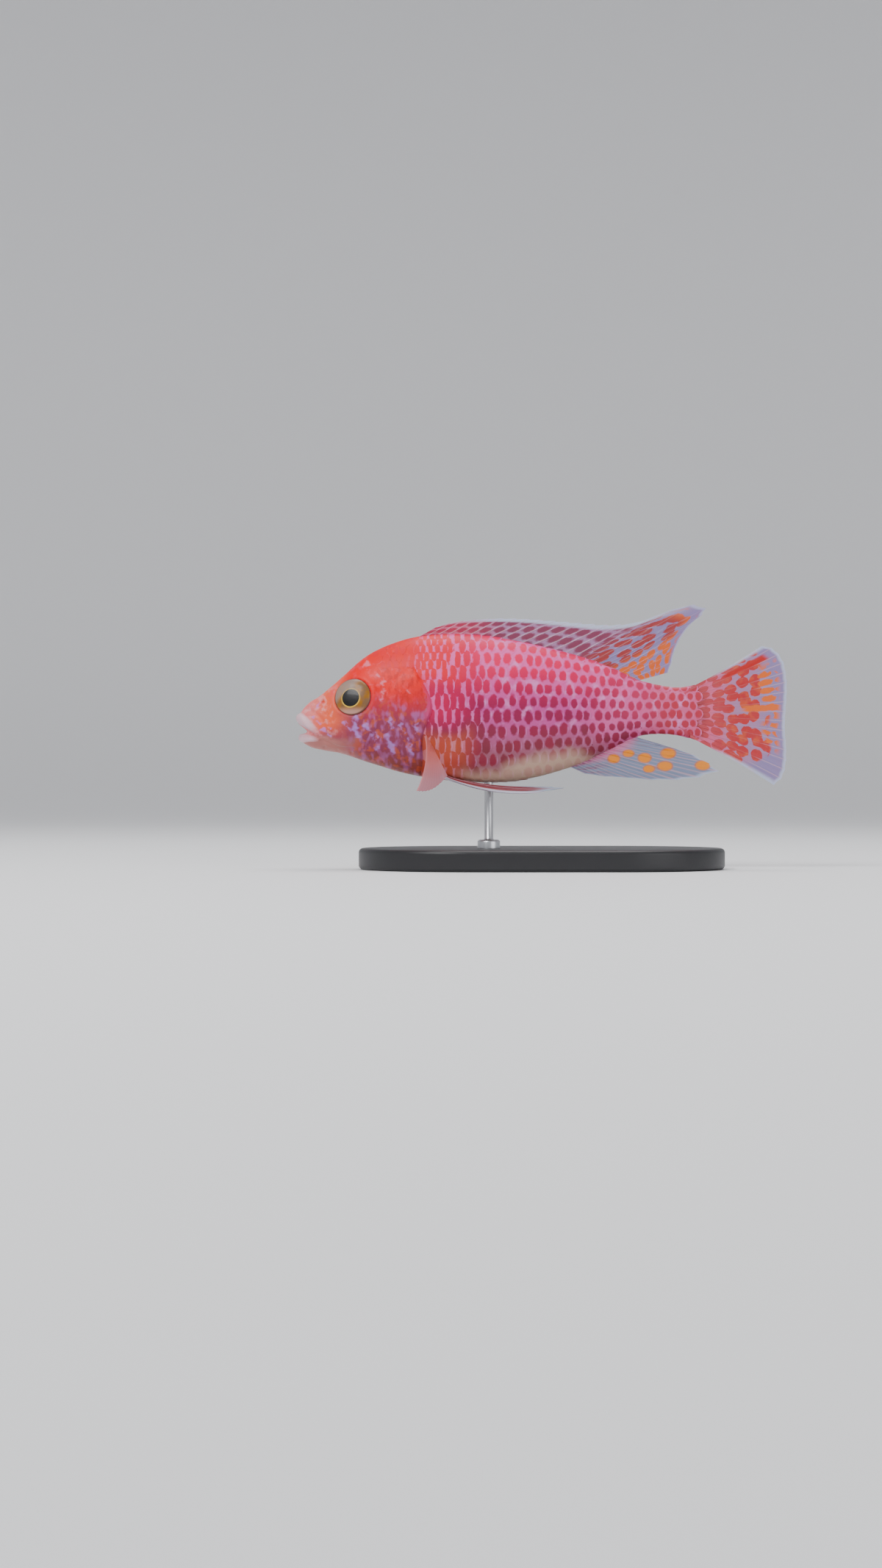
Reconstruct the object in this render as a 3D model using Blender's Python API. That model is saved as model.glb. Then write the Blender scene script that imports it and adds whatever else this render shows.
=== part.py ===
"""Peacock cichlid: a still, life-size model of the fish, held over a plain display stand.

The fish swims level with its head towards -X and its left side towards -Y.
Its shape is given in the fish's own millimetres: u runs back from the tip of the upper lip,
y runs across, and v runs up from the middle of the tail stalk.
"""

import math

import bmesh
import bpy
import numpy as np

MM = 0.001

# The whole fish, in millimetres
TOTAL_LENGTH = 140.0
AXIS_HEIGHT = 45.0  # of v = 0 above the floor
GAP = 0.3  # kept between touching pieces

# Side outline and plan of the body: (u, size)
BACK = [
    (1.0, -1.6), (2.0, 0.2), (3.8, 2.2), (6.5, 3.9), (10.0, 6.7), (14.2, 10.4), (18.4, 14.2),
    (22.5, 17.0), (26.6, 19.0), (31.5, 20.6), (41.2, 22.0), (53.7, 21.6), (66.1, 19.6),
    (78.6, 16.4), (89.0, 13.1), (97.3, 9.2), (103.6, 7.4), (109.0, 6.8), (114.0, 7.6),
]
BELLY = [
    (1.0, -7.4), (2.1, -8.9), (3.7, -10.0), (7.9, -11.2), (12.5, -12.0), (20.4, -14.6),
    (28.7, -17.4), (36.0, -19.0), (45.3, -20.1), (53.7, -20.5), (62.0, -20.2), (70.3, -18.7),
    (76.5, -16.8), (86.9, -12.6), (94.2, -8.9), (98.4, -7.2), (103.6, -6.7), (109.8, -7.4),
    (114.0, -8.8),
]
HALF_WIDTH = [
    (1.0, 1.9), (2.4, 3.2), (5.0, 4.5), (8.1, 5.6), (12.5, 6.9), (17.0, 8.0), (24.0, 9.1),
    (31.0, 9.8), (38.0, 10.0), (46.0, 9.8), (57.0, 9.0), (68.0, 7.6), (79.0, 5.9), (90.0, 4.2),
    (98.0, 3.1), (105.0, 2.4), (110.0, 2.1), (114.0, 1.6),
]
WIDEST_LEVEL = [(1.0, -4.6), (8.0, -4.6), (17.0, -3.4), (31.0, -1.2), (46.0, 0.2), (62.0, 0.8),
                (80.0, 0.4), (98.0, 0.6), (114.0, -0.4)]
# How fast each half of a section narrows: 1 is an ellipse, more is a keel, less is fuller
BACK_KEEL = [(1.0, 1.0), (12.0, 1.05), (24.0, 1.15), (45.0, 1.3), (80.0, 1.2), (114.0, 1.0)]
BELLY_KEEL = [(1.0, 0.95), (20.0, 1.05), (34.0, 0.95), (52.0, 0.85), (72.0, 0.95), (90.0, 1.1),
              (114.0, 1.0)]
BODY_FRONT, BODY_END = 1.0, 112.6
STATIONS = [1.0, 1.4, 2.0, 2.8, 4.0, 5.5, 7.2, 9.2, 11.4, 13.8, 16.4, 19.0, 21.8, 24.6, 27.4,
            30.2, 33.2, 36.4, 39.8, 43.4, 47.2, 51.2, 55.2, 59.2, 63.2, 67.2, 71.2, 75.2, 79.2,
            83.2, 87.2, 90.8, 94.2, 97.4, 100.4, 103.4, 106.6, 109.8, BODY_END]
SECTION_POINTS = 40

# Where the body is parted: side-view lines, front to back of the animal
MOUTH_ROOF = [(-2.0, -3.1), (1.0, -3.9), (3.4, -5.95), (7.7, -7.45)]
MOUTH_FLOOR = [(-2.0, -7.0), (1.0, -6.7), (3.4, -6.2), (7.7, -7.75)]
JAW_END = [(14.6, -12.6), (14.6, -16.0)]
GILL_MARGIN = [(-20.5, 34.6), (-16.0, 35.8), (-11.0, 35.9), (-7.0, 36.1), (-3.5, 37.3),
               (-0.5, 38.5), (2.0, 38.6), (5.5, 37.2), (9.0, 35.2), (13.0, 33.5), (16.0, 33.1),
               (22.5, 33.0)]  # (v, u)
STALK_FRONT = 98.6
MARGIN_STEPS = 23
CUT_FRONT, CUT_REAR = -3.0, 120.0  # the cutters end well clear of the body
CUT_LOW, CUT_HIGH, CUT_ACROSS = -24.0, 26.0, 40.0

# Gill covers: front margin of the plate as (v, u), its height and its relief
COVER_FRONT = [(-17.0, 31.4), (-15.8, 28.4), (-13.0, 26.2), (-9.0, 25.2), (-3.0, 25.3),
               (3.0, 26.7), (7.5, 28.8), (10.0, 30.8), (11.0, 32.2)]
COVER_LOW, COVER_HIGH = -17.0, 11.0
COVER_RISE, COVER_DEPTH = 0.75, 1.3
COVER_FRONT_SHARE = 0.2  # of the rise, where the plate's front margin lies
RECESS_REACH = 2.5  # the recess is cut from this far outside the flank
COVER_ROWS, COVER_COLUMNS = 12, 8

# Lips: (u, v) of the middle of the front and of the corner, and the lip's radii
UPPER_LIP = {"front": (1.5, -2.1), "corner": (7.2, -7.0), "radii": (1.4, 0.75)}
LOWER_LIP = {"front": (2.0, -7.7), "corner": (7.4, -8.6), "radii": (1.15, 0.7)}
MOUTH_HALF_WIDTH = 5.1
LIP_STEPS, LIP_SIDES = 18, 10

# Eyes and nostrils
EYE_CENTRE = (16.6, 3.7)
EYE_RADIUS, EYE_HALF_DEPTH, EYE_STANDS_OUT = 5.4, 2.2, 1.1
EYE_FORWARD, EYE_UPWARD = math.radians(17.0), math.radians(15.0)  # how far each eye looks
EYE_RINGS, EYE_POLE = 11, 0.995
ORBIT_RIM_RADIUS, ORBIT_RIM_RISE, ORBIT_RIM_WIDTH = 6.0, 0.4, 0.9
NOSTRIL = (7.9, 2.6)
NOSTRIL_RADIUS, NOSTRIL_DEPTH, NOSTRIL_SIDES = 0.5, 0.7, 10

# Fins: half thicknesses of a ray, the web and the outer edge, then how finely they are made
RAY_HALF, WEB_HALF, TIP_HALF = 0.46, 0.27, 0.22
MIDLINE_ROOT_HALF, PAIRED_ROOT_HALF = 0.8, 0.7
ROOT_FLARE = 0.22  # share of a ray's length over which the fin thickens to its root
FIN_ROWS, WEB_STEPS = 7, 3
LAPPET_NOTCH, WEB_NOTCH = 0.10, 0.025

# Dorsal fin: spines and soft rays from base to tip, all in side view
SPINES = 16
SPINE_BASES, SPINE_TIPS = (33.6, 79.2), (40.2, 96.4)
SOFT_BASES = (81.2, 97.0)
DORSAL_EDGE = [(40.2, 23.9), (45.3, 25.3), (53.7, 26.2), (59.0, 26.4), (66.1, 26.2),
               (73.4, 25.7), (82.0, 25.0), (89.5, 24.5), (96.4, 25.1)]
SOFT_TIPS = [(102.0, 26.8), (107.4, 28.9), (113.2, 30.3), (116.8, 29.2), (115.6, 27.2),
             (112.6, 24.8), (110.5, 22.2), (109.0, 19.6), (107.8, 16.7), (107.1, 13.8),
             (106.0, 10.9)]

# Anal fin: (base u, tip u, tip v), three spines and then the soft rays
ANAL_RAYS = [(77.4, 82.4, -17.9), (79.1, 88.0, -18.7), (80.9, 94.4, -19.1),
             (82.8, 101.2, -19.7), (84.9, 108.4, -19.7), (87.0, 114.8, -19.0),
             (89.0, 120.6, -17.2), (91.0, 117.6, -14.9), (92.8, 113.4, -12.5),
             (94.5, 108.6, -10.9), (96.0, 103.6, -9.4)]

# Tail fin: its outer edge from the upper corner to the lower one
CAUDAL_EDGE = [(132.8, 18.5), (136.0, 17.8), (138.6, 14.8), (139.7, 10.8), (140.0, 6.5),
               (139.7, 1.0), (139.4, -5.0), (139.8, -10.0), (139.7, -14.5), (138.6, -19.0),
               (136.2, -21.1)]
CAUDAL_RAYS = 17
CAUDAL_ROOT = (7.1, -8.1)
CAUDAL_ROOT_HALF = 1.5
CAUDAL_BOW = 0.45  # how far the outermost rays sag towards the middle
TAIL_SWEEP = 1.6  # how far the tail fin's rear edge swings to the fish's right

# Paired fins, for the left side: (base u, inset, v) to (tip u, distance out, v)
PECTORAL_FIRST = ((36.9, -6.6), (34.6, 24.5, -22.8))
PECTORAL_LAST = ((39.2, -10.8), (43.2, 15.5, -18.6))
PECTORAL_RAYS, PECTORAL_BOW, PECTORAL_ROUNDING = 11, 1.4, 1.6
PELVIC_RAYS = [((41.4, 5.0), (68.6, 8.6, -23.2)), ((41.5, 4.5), (76.0, 8.2, -21.9)),
               ((41.6, 4.0), (72.6, 6.9, -21.6)), ((41.7, 3.4), (66.0, 5.6, -21.5)),
               ((41.8, 2.9), (59.6, 4.4, -21.6)), ((41.9, 2.3), (53.0, 3.2, -21.9))]
PELVIC_BOW = 1.9  # how far the leading edge sags below a straight line
ROOT_INSET = 1.2

# Stand
BASE_LENGTH, BASE_WIDTH, BASE_HEIGHT = 104.0, 62.0, 6.0
BASE_BEVEL = 1.2
ROD_U, ROD_RADIUS, ROD_SPARE = 55.0, 1.25, 1.5
COLLAR_RADIUS, COLLAR_HEIGHT, COLLAR_CHAMFER = 3.2, 2.4, 0.6
ROUND_SIDES = 24

UP, ACROSS = np.array([0.0, 0.0, 1.0]), np.array([0.0, 1.0, 0.0])
SIDES = (("left", -1), ("right", 1))

SKIN = ("skin", (0.78, 0.20, 0.22), 0.35)
LIP = ("lips", (0.80, 0.70, 0.74), 0.35)
FIN = ("fins", (0.72, 0.48, 0.52), 0.4)
EYE = ("eye", (0.62, 0.45, 0.12), 0.1)
BASE = ("stand", (0.03, 0.03, 0.035), 0.45)
STEEL = ("steel", (0.6, 0.6, 0.62), 0.3)


# Curves and places

def smooth_curve(points):
    """A cubic through (x, value) points, as a function of x."""
    xs, ys = (np.array(column, float) for column in zip(*points))
    slopes = np.gradient(ys, xs)

    def value(x):
        x = np.clip(x, xs[0], xs[-1])
        i = np.clip(np.searchsorted(xs, x) - 1, 0, len(xs) - 2)
        span = xs[i + 1] - xs[i]
        t = (x - xs[i]) / span
        start = ys[i] * (1 + 2 * t) * (1 - t) ** 2 + slopes[i] * span * t * (1 - t) ** 2
        end = ys[i + 1] * t * t * (3 - 2 * t) - slopes[i + 1] * span * t * t * (1 - t)
        return start + end

    return value


def spread_along(points, count):
    """count places, evenly spread along a smooth line through the points."""
    points = np.array(points, float)
    steps = np.linalg.norm(np.diff(points, axis=0), axis=1)
    along = np.concatenate([[0], np.cumsum(steps)])
    at = np.linspace(0, along[-1], count)
    return np.stack([smooth_curve(list(zip(along, p)))(at) for p in points.T], axis=1)


back, belly = smooth_curve(BACK), smooth_curve(BELLY)
half_width, widest_level = smooth_curve(HALF_WIDTH), smooth_curve(WIDEST_LEVEL)
back_keel, belly_keel = smooth_curve(BACK_KEEL), smooth_curve(BELLY_KEEL)
gill_margin, cover_front = smooth_curve(GILL_MARGIN), smooth_curve(COVER_FRONT)


def flank(u, v):
    """Half the body's width at a place in side view."""
    middle = widest_level(u)
    above = v > middle
    reach = np.where(above, back(u) - middle, middle - belly(u))
    share = np.clip(np.abs(v - middle) / reach, 0, 1)
    keel = np.where(above, back_keel(u), belly_keel(u))
    return half_width(u) * (1 - share**2) ** (keel / 2)


def orbit_rise(u, v):
    """Height of the low rim that rings each eye."""
    off = np.hypot(u - EYE_CENTRE[0], v - EYE_CENTRE[1]) - ORBIT_RIM_RADIUS
    return ORBIT_RIM_RISE * np.exp(-((off / ORBIT_RIM_WIDTH) ** 2))


def flank_normal(u, v, step=0.2):
    """The way the left flank faces, as (u, y, v), at a place in side view."""
    along = (flank(u + step, v) - flank(u - step, v)) / (2 * step)
    upwards = (flank(u, v + step) - flank(u, v - step)) / (2 * step)
    normal = np.array([-along, -1.0, -upwards])
    return normal / np.linalg.norm(normal)


def to_world(places):
    """Fish millimetres (u, y, v) to metres."""
    places = np.asarray(places, float)
    return (places + [-TOTAL_LENGTH / 2, 0, AXIS_HEIGHT]) * MM


# Meshes and objects

def material(finish):
    name, colour, roughness = finish
    made = bpy.data.materials.get(name) or bpy.data.materials.new(name)
    made.use_nodes = True
    shader = made.node_tree.nodes["Principled BSDF"]
    shader.inputs["Base Color"].default_value = (*colour, 1)
    shader.inputs["Roughness"].default_value = roughness
    shader.inputs["Metallic"].default_value = 1.0 if finish is STEEL else 0.0
    made.diffuse_color = (*colour, 1)
    return made


def piece(name, places, faces, finish):
    """A closed mesh object from fish millimetres, its faces turned outwards."""
    mesh = bpy.data.meshes.new(name)
    mesh.from_pydata([tuple(p) for p in to_world(places)], [], faces)
    shell = bmesh.new()
    shell.from_mesh(mesh)
    bmesh.ops.remove_doubles(shell, verts=shell.verts, dist=1e-6)
    bmesh.ops.recalc_face_normals(shell, faces=shell.faces)
    if shell.calc_volume(signed=True) < 0:
        bmesh.ops.reverse_faces(shell, faces=shell.faces)
    shell.to_mesh(mesh)
    shell.free()
    mesh.materials.append(material(finish))
    made = bpy.data.objects.new(name, mesh)
    bpy.context.scene.collection.objects.link(made)
    return made


def apply_modifiers(thing):
    """Replaces the object's mesh by what its modifiers make of it."""
    graph = bpy.context.evaluated_depsgraph_get()
    shaped = bpy.data.meshes.new_from_object(thing.evaluated_get(graph))
    thing.modifiers.clear()
    thing.data = shaped


def combined(thing, operation, others):
    """thing after one Boolean with the other objects, which are then removed."""
    group = bpy.data.collections.new("operands")
    bpy.context.scene.collection.children.link(group)
    for other in others:
        bpy.context.scene.collection.objects.unlink(other)
        group.objects.link(other)
    cut = thing.modifiers.new("combine", "BOOLEAN")
    cut.operand_type = "COLLECTION"
    cut.collection = group
    cut.operation = operation
    cut.solver = "EXACT"
    bpy.context.view_layer.update()
    apply_modifiers(thing)
    for other in list(group.objects):
        bpy.data.objects.remove(other)
    bpy.data.collections.remove(group)
    return keep_largest(thing)


def keep_largest(thing):
    """Drops every closed surface of the object but its largest."""
    shell = bmesh.new()
    shell.from_mesh(thing.data)
    shells, seen = [], set()
    for start in shell.faces:
        if start in seen:
            continue
        found, todo = [], [start]
        seen.add(start)
        while todo:
            face = todo.pop()
            found.append(face)
            for edge in face.edges:
                for other in edge.link_faces:
                    if other not in seen:
                        seen.add(other)
                        todo.append(other)
        shells.append(found)
    shells.sort(key=lambda faces: sum(face.calc_area() for face in faces))
    lesser = [face for faces in shells[:-1] for face in faces]
    bmesh.ops.delete(shell, geom=lesser, context="FACES")
    shell.to_mesh(thing.data)
    shell.free()
    return thing


def prism(name, outline):
    """A side-view outline carried across the whole body."""
    count = len(outline)
    places = [(u, side * CUT_ACROSS, v) for side in (-1, 1) for u, v in outline]
    faces = [tuple(range(count)), tuple(range(2 * count - 1, count - 1, -1))]
    faces += [(i, (i + 1) % count, (i + 1) % count + count, i + count) for i in range(count)]
    return piece(name, places, faces, SKIN)


def tube(name, rings, finish):
    """A closed skin over rings of points, each ring with the same count, ends capped."""
    rings = np.array(rings)
    count, sides = rings.shape[:2]
    faces = [tuple(range(sides)), tuple(range((count - 1) * sides, count * sides))]
    for i in range(count - 1):
        for j in range(sides):
            k = (j + 1) % sides
            faces.append((i * sides + j, i * sides + k, (i + 1) * sides + k, (i + 1) * sides + j))
    return piece(name, rings.reshape(-1, 3), faces, finish)


# Body

def body_ring(u, grow):
    """One section of the body, grown outwards by grow, from the top round to the top."""
    turn = np.linspace(0, 2 * math.pi, SECTION_POINTS, endpoint=False)
    rise, across = np.cos(turn), np.sin(turn)
    middle = widest_level(u)
    top, bottom = back(u) - middle + grow, middle - belly(u) + grow
    v = middle + np.where(rise > 0, top, bottom) * rise
    keel = np.where(rise > 0, back_keel(u), belly_keel(u))
    width = (half_width(u) + grow) * np.abs(across) ** keel
    width = width + orbit_rise(u, v) * np.abs(across)
    return np.stack([np.full_like(v, u), np.sign(across) * width, v], axis=1)


def body_solid(name, grow=0.0):
    """The whole body from snout to tail root, with no mouth or fins."""
    return tube(name, [body_ring(u, grow) for u in STATIONS], SKIN)


def lip(name, shape):
    """A lip that runs from one corner of the mouth round the snout to the other."""
    rings = []
    front_u, front_v = shape["front"]
    corner_u, corner_v = shape["corner"]
    thick, thin = shape["radii"]
    turn = np.linspace(0, 2 * math.pi, LIP_SIDES, endpoint=False)
    for w in np.linspace(-1, 1, LIP_STEPS + 1):
        share = w * w
        u = front_u + (corner_u - front_u) * share
        v = front_v + (corner_v - front_v) * share
        y = MOUTH_HALF_WIDTH * math.sin(w * math.pi / 2)
        along = np.array([2 * w * (corner_u - front_u), MOUTH_HALF_WIDTH * 1.4, 0])
        out = np.array([along[1], -along[0], 0]) / np.linalg.norm(along)
        radius = thick + (thin - thick) * share
        ring = [np.array([u, y, v]) + radius * (math.cos(a) * out + math.sin(a) * UP)
                for a in turn]
        rings.append(ring)
    return tube(name, rings, LIP)


def cover_patch(name, side, rise, depth, spare):
    """A gill cover as a thick patch of the flank. spare widens it into the recess it lies in."""
    outer, inner = [], []
    for v in np.linspace(COVER_LOW - spare, COVER_HIGH + spare, COVER_ROWS + 1):
        level = np.clip(v, COVER_LOW, COVER_HIGH)
        first = cover_front(level) - spare
        last = gill_margin(level) - GAP + 3 * spare
        for k, u in enumerate(np.linspace(first, last, COVER_COLUMNS + 1)):
            normal = flank_normal(u, v)
            skin = np.array([u, -flank(u, v), v])
            lift = rise * (COVER_FRONT_SHARE + (1 - COVER_FRONT_SHARE) * k / COVER_COLUMNS)
            for places, off in ((outer, lift), (inner, -depth)):
                place = skin + normal * off
                places.append(place * [1, -side, 1])
    return piece(name, outer + inner, sheet_faces(COVER_ROWS + 1, COVER_COLUMNS + 1), SKIN)


def sheet_faces(rows, columns):
    """Triangles of a closed sheet: two like grids of points, split alike, and their rim."""
    other = rows * columns
    faces = []
    for i in range(rows - 1):
        for j in range(columns - 1):
            a, b = i * columns + j, i * columns + j + 1
            c, d = b + columns, a + columns
            faces += [(a, b, c), (a, c, d)]
            faces += [(a + other, c + other, b + other), (a + other, d + other, c + other)]
    rim = [j for j in range(columns)]
    rim += [i * columns + columns - 1 for i in range(1, rows)]
    rim += [(rows - 1) * columns + j for j in range(columns - 2, -1, -1)]
    rim += [i * columns for i in range(rows - 2, 0, -1)]
    for a, b in zip(rim, rim[1:] + rim[:1]):
        faces.append((a, a + other, b + other, b))
    return faces


def eye_shape(name, side, grow):
    """A flattened eyeball, or with grow the socket it lies in."""
    u, v = EYE_CENTRE
    surface = -(flank(u, v) + orbit_rise(u, v))
    centre = np.array([u, surface - EYE_STANDS_OUT + EYE_HALF_DEPTH, v])
    rear = np.array([math.cos(EYE_FORWARD), -math.sin(EYE_FORWARD), 0])
    out = np.array([-math.sin(EYE_FORWARD) * math.cos(EYE_UPWARD),
                    -math.cos(EYE_FORWARD) * math.cos(EYE_UPWARD), math.sin(EYE_UPWARD)])
    upright = np.cross(out, rear)
    rings = []
    for lift in np.linspace(-EYE_POLE, EYE_POLE, EYE_RINGS):
        level = math.sin(lift * math.pi / 2)
        radius = (EYE_RADIUS + grow) * math.sqrt(1 - level * level)
        ring = []
        for a in np.linspace(0, 2 * math.pi, ROUND_SIDES, endpoint=False):
            turned = radius * (math.cos(a) * rear + math.sin(a) * upright)
            depth = level * (EYE_HALF_DEPTH + grow)
            ring.append((centre + turned - out * depth) * [1, -side, 1])
        rings.append(ring)
    return tube(name, rings, EYE)


def nostril(name, side):
    """The round pit of one nostril, as a cutter."""
    u, v = NOSTRIL
    normal = flank_normal(u, v)
    skin = np.array([u, -flank(u, v), v])
    level = np.cross(normal, UP)
    level /= np.linalg.norm(level)
    upright = np.cross(level, normal)
    turns = np.linspace(0, 2 * math.pi, NOSTRIL_SIDES, endpoint=False)
    edge = [NOSTRIL_RADIUS * (math.cos(a) * level + math.sin(a) * upright) for a in turns]
    rings = [[(skin + normal * off + spoke) * [1, -side, 1] for spoke in edge]
             for off in (-NOSTRIL_DEPTH, NOSTRIL_DEPTH)]
    return tube(name, rings, SKIN)


def build_body():
    """Head, jaw, gill covers, trunk and tail stalk, parted from one body."""
    heights = np.linspace(GILL_MARGIN[0][0], GILL_MARGIN[-1][0], MARGIN_STEPS)
    margin = [(gill_margin(v), v) for v in heights]
    low, high = margin[0][0], margin[-1][0]
    jaw_low = JAW_END[-1][1]
    head_side = ([(CUT_FRONT, CUT_HIGH), *MOUTH_ROOF]
                 + [(u + GAP / 2, v) for u, v in JAW_END]
                 + [(low, CUT_LOW), *margin, (high, CUT_HIGH)])
    jaw_side = MOUTH_FLOOR + [(u - GAP, v) for u, v in JAW_END] + [(CUT_FRONT, jaw_low)]
    behind = [(u + GAP, v) for u, v in margin]
    trunk_side = ([(low + GAP, CUT_LOW), *behind, (high + GAP, CUT_HIGH)]
                  + [(STALK_FRONT, CUT_HIGH), (STALK_FRONT, CUT_LOW)])
    stalk_front = STALK_FRONT + GAP
    stalk_side = [(stalk_front, CUT_LOW), (stalk_front, CUT_HIGH),
                  (CUT_REAR, CUT_HIGH), (CUT_REAR, CUT_LOW)]

    head = combined(body_solid("head"), "INTERSECT", [prism("head_side", head_side)])
    head = combined(head, "UNION", [lip("upper_lip", UPPER_LIP)])
    hollows = [nostril("nostril", side) for side in (-1, 1)]
    hollows += [eye_shape("socket", side, GAP) for side in (-1, 1)]
    hollows += [cover_patch("recess", side, RECESS_REACH, COVER_DEPTH + GAP, GAP)
                for side in (-1, 1)]
    combined(head, "DIFFERENCE", hollows)

    jaw = combined(body_solid("jaw_lower"), "UNION", [lip("lower_lip", LOWER_LIP)])
    combined(jaw, "INTERSECT", [prism("jaw_side", jaw_side)])
    combined(body_solid("trunk"), "INTERSECT", [prism("trunk_side", trunk_side)])
    combined(body_solid("tail_stalk"), "INTERSECT", [prism("stalk_side", stalk_side)])
    for name, side in SIDES:
        cover_patch(f"gill_cover_{name}", side, COVER_RISE, COVER_DEPTH, 0.0)
        eye_shape(f"eye_{name}", side, 0.0)


# Fins

def fin(name, roots, tips, bows, notches, faces_to, root_half, sweep=0.0):
    """A fin as one closed sheet whose rays are ridges in its surface.

    roots and tips are the ends of the rays and bows is how far each one's middle is off a
    straight line. notches is how far the web's edge falls short behind each ray, faces_to the
    way the fin's side faces, and sweep how far its outer edge swings that way.
    """
    rays = np.concatenate([roots, tips, bows], axis=1)
    columns = (len(rays) - 1) * WEB_STEPS + 1
    middle = np.zeros((FIN_ROWS, columns, 3))
    half = np.zeros((FIN_ROWS, columns, 1))
    for row, share in enumerate(np.linspace(0, 1, FIN_ROWS)):
        for column in range(columns):
            i = min(column // WEB_STEPS, len(rays) - 2)
            part = column / WEB_STEPS - i
            root, tip, bow = np.split(rays[i] * (1 - part) + rays[i + 1] * part, 3)
            reach = share * (1 - notches[i] * math.sin(math.pi * part) * share**2)
            place = root + (tip - root) * reach + bow * 4 * reach * (1 - reach)
            middle[row, column] = place + faces_to * sweep * share**2
            thick = RAY_HALF if column % WEB_STEPS == 0 else WEB_HALF
            thick += (TIP_HALF - thick) * share**3
            thick += (root_half - thick) * max(0.0, 1 - share / ROOT_FLARE) ** 2
            half[row, column] = thick
    normal = np.cross(np.gradient(middle, axis=0), np.gradient(middle, axis=1))
    normal /= np.linalg.norm(normal, axis=2, keepdims=True)
    normal *= np.sign(normal @ faces_to)[:, :, None]
    sides = np.concatenate([middle + normal * half, middle - normal * half])
    return piece(name, sides.reshape(-1, 3), sheet_faces(FIN_ROWS, columns), FIN)


def side_view(points, y=0.0):
    return np.array([(u, y, v) for u, v in points], float)


def dorsal_fin():
    """Sixteen spines with free tips, then the soft rays, swept back to a point."""
    edge = smooth_curve(DORSAL_EDGE)
    bases = np.concatenate([np.linspace(*SPINE_BASES, SPINES),
                            np.linspace(*SOFT_BASES, len(SOFT_TIPS))])
    roots = side_view([(u, back(u) + GAP) for u in bases])
    tips = side_view([(u, edge(u)) for u in np.linspace(*SPINE_TIPS, SPINES)] + SOFT_TIPS)
    notches = [LAPPET_NOTCH] * SPINES + [WEB_NOTCH] * len(SOFT_TIPS)
    fin("dorsal_fin", roots, tips, 0 * roots, notches, ACROSS, MIDLINE_ROOT_HALF)


def anal_fin():
    roots = side_view([(base, belly(base) - GAP) for base, _, _ in ANAL_RAYS])
    tips = side_view([(u, v) for _, u, v in ANAL_RAYS])
    notches = [WEB_NOTCH] * len(roots)
    fin("anal_fin", roots, tips, 0 * roots, notches, ACROSS, MIDLINE_ROOT_HALF)


def caudal_fin():
    heights = np.linspace(*CAUDAL_ROOT, CAUDAL_RAYS)
    roots = side_view([(BODY_END + GAP, v) for v in heights])
    tips = side_view(spread_along(CAUDAL_EDGE, CAUDAL_RAYS))
    spread = np.linspace(1, -1, CAUDAL_RAYS)
    bows = -CAUDAL_BOW * (spread * np.abs(spread))[:, None] * UP
    notches = [WEB_NOTCH / 2] * CAUDAL_RAYS
    fin("caudal_fin", roots, tips, bows, notches, ACROSS, CAUDAL_ROOT_HALF, TAIL_SWEEP)


def across_fin(roots, tips):
    """The way that the side of a flat fan of rays faces."""
    middle = (tips[0] + tips[-1]) / 2 - (roots[0] + roots[-1]) / 2
    normal = np.cross(middle, tips[-1] - tips[0])
    return normal / np.linalg.norm(normal)


def paired_fin(name, side, roots, tips, bows):
    """One fin of a pair, its root sunk in the body and then cut clear of it."""
    mirror = [1, -side, 1]
    roots, tips, bows = (np.array(places) * mirror for places in (roots, tips, bows))
    notches = [WEB_NOTCH] * len(roots)
    facing = across_fin(roots, tips)
    made = fin(name, roots, tips, bows, notches, facing, PAIRED_ROOT_HALF)
    return combined(made, "DIFFERENCE", [body_solid("clearance", GAP)])


def pectoral_fin(name, side):
    (first_root, first_tip), (last_root, last_tip) = PECTORAL_FIRST, PECTORAL_LAST
    roots, tips, bows = [], [], []
    for share in np.linspace(0, 1, PECTORAL_RAYS):
        u, v = np.array(first_root) * (1 - share) + np.array(last_root) * share
        roots.append((u, -flank(u, v) + ROOT_INSET, v))
        tip_u, out, tip_v = np.array(first_tip) * (1 - share) + np.array(last_tip) * share
        rounding = PECTORAL_ROUNDING * math.sin(math.pi * share)
        tips.append((tip_u, -out - rounding, tip_v - rounding))
        bows.append((PECTORAL_BOW * (1 - share), -PECTORAL_BOW, 0))
    paired_fin(f"pectoral_fin_{name}", side, roots, tips, bows)


def pelvic_fin(name, side):
    roots, tips, bows = [], [], []
    for i, ((root_u, root_out), (tip_u, out, tip_v)) in enumerate(PELVIC_RAYS):
        roots.append((root_u, -root_out, belly(root_u) + ROOT_INSET))
        tips.append((tip_u, -out, tip_v))
        bows.append((0, 0, -PELVIC_BOW * (1 - i / len(PELVIC_RAYS))))
    paired_fin(f"pelvic_fin_{name}", side, roots, tips, bows)


# Stand

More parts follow.
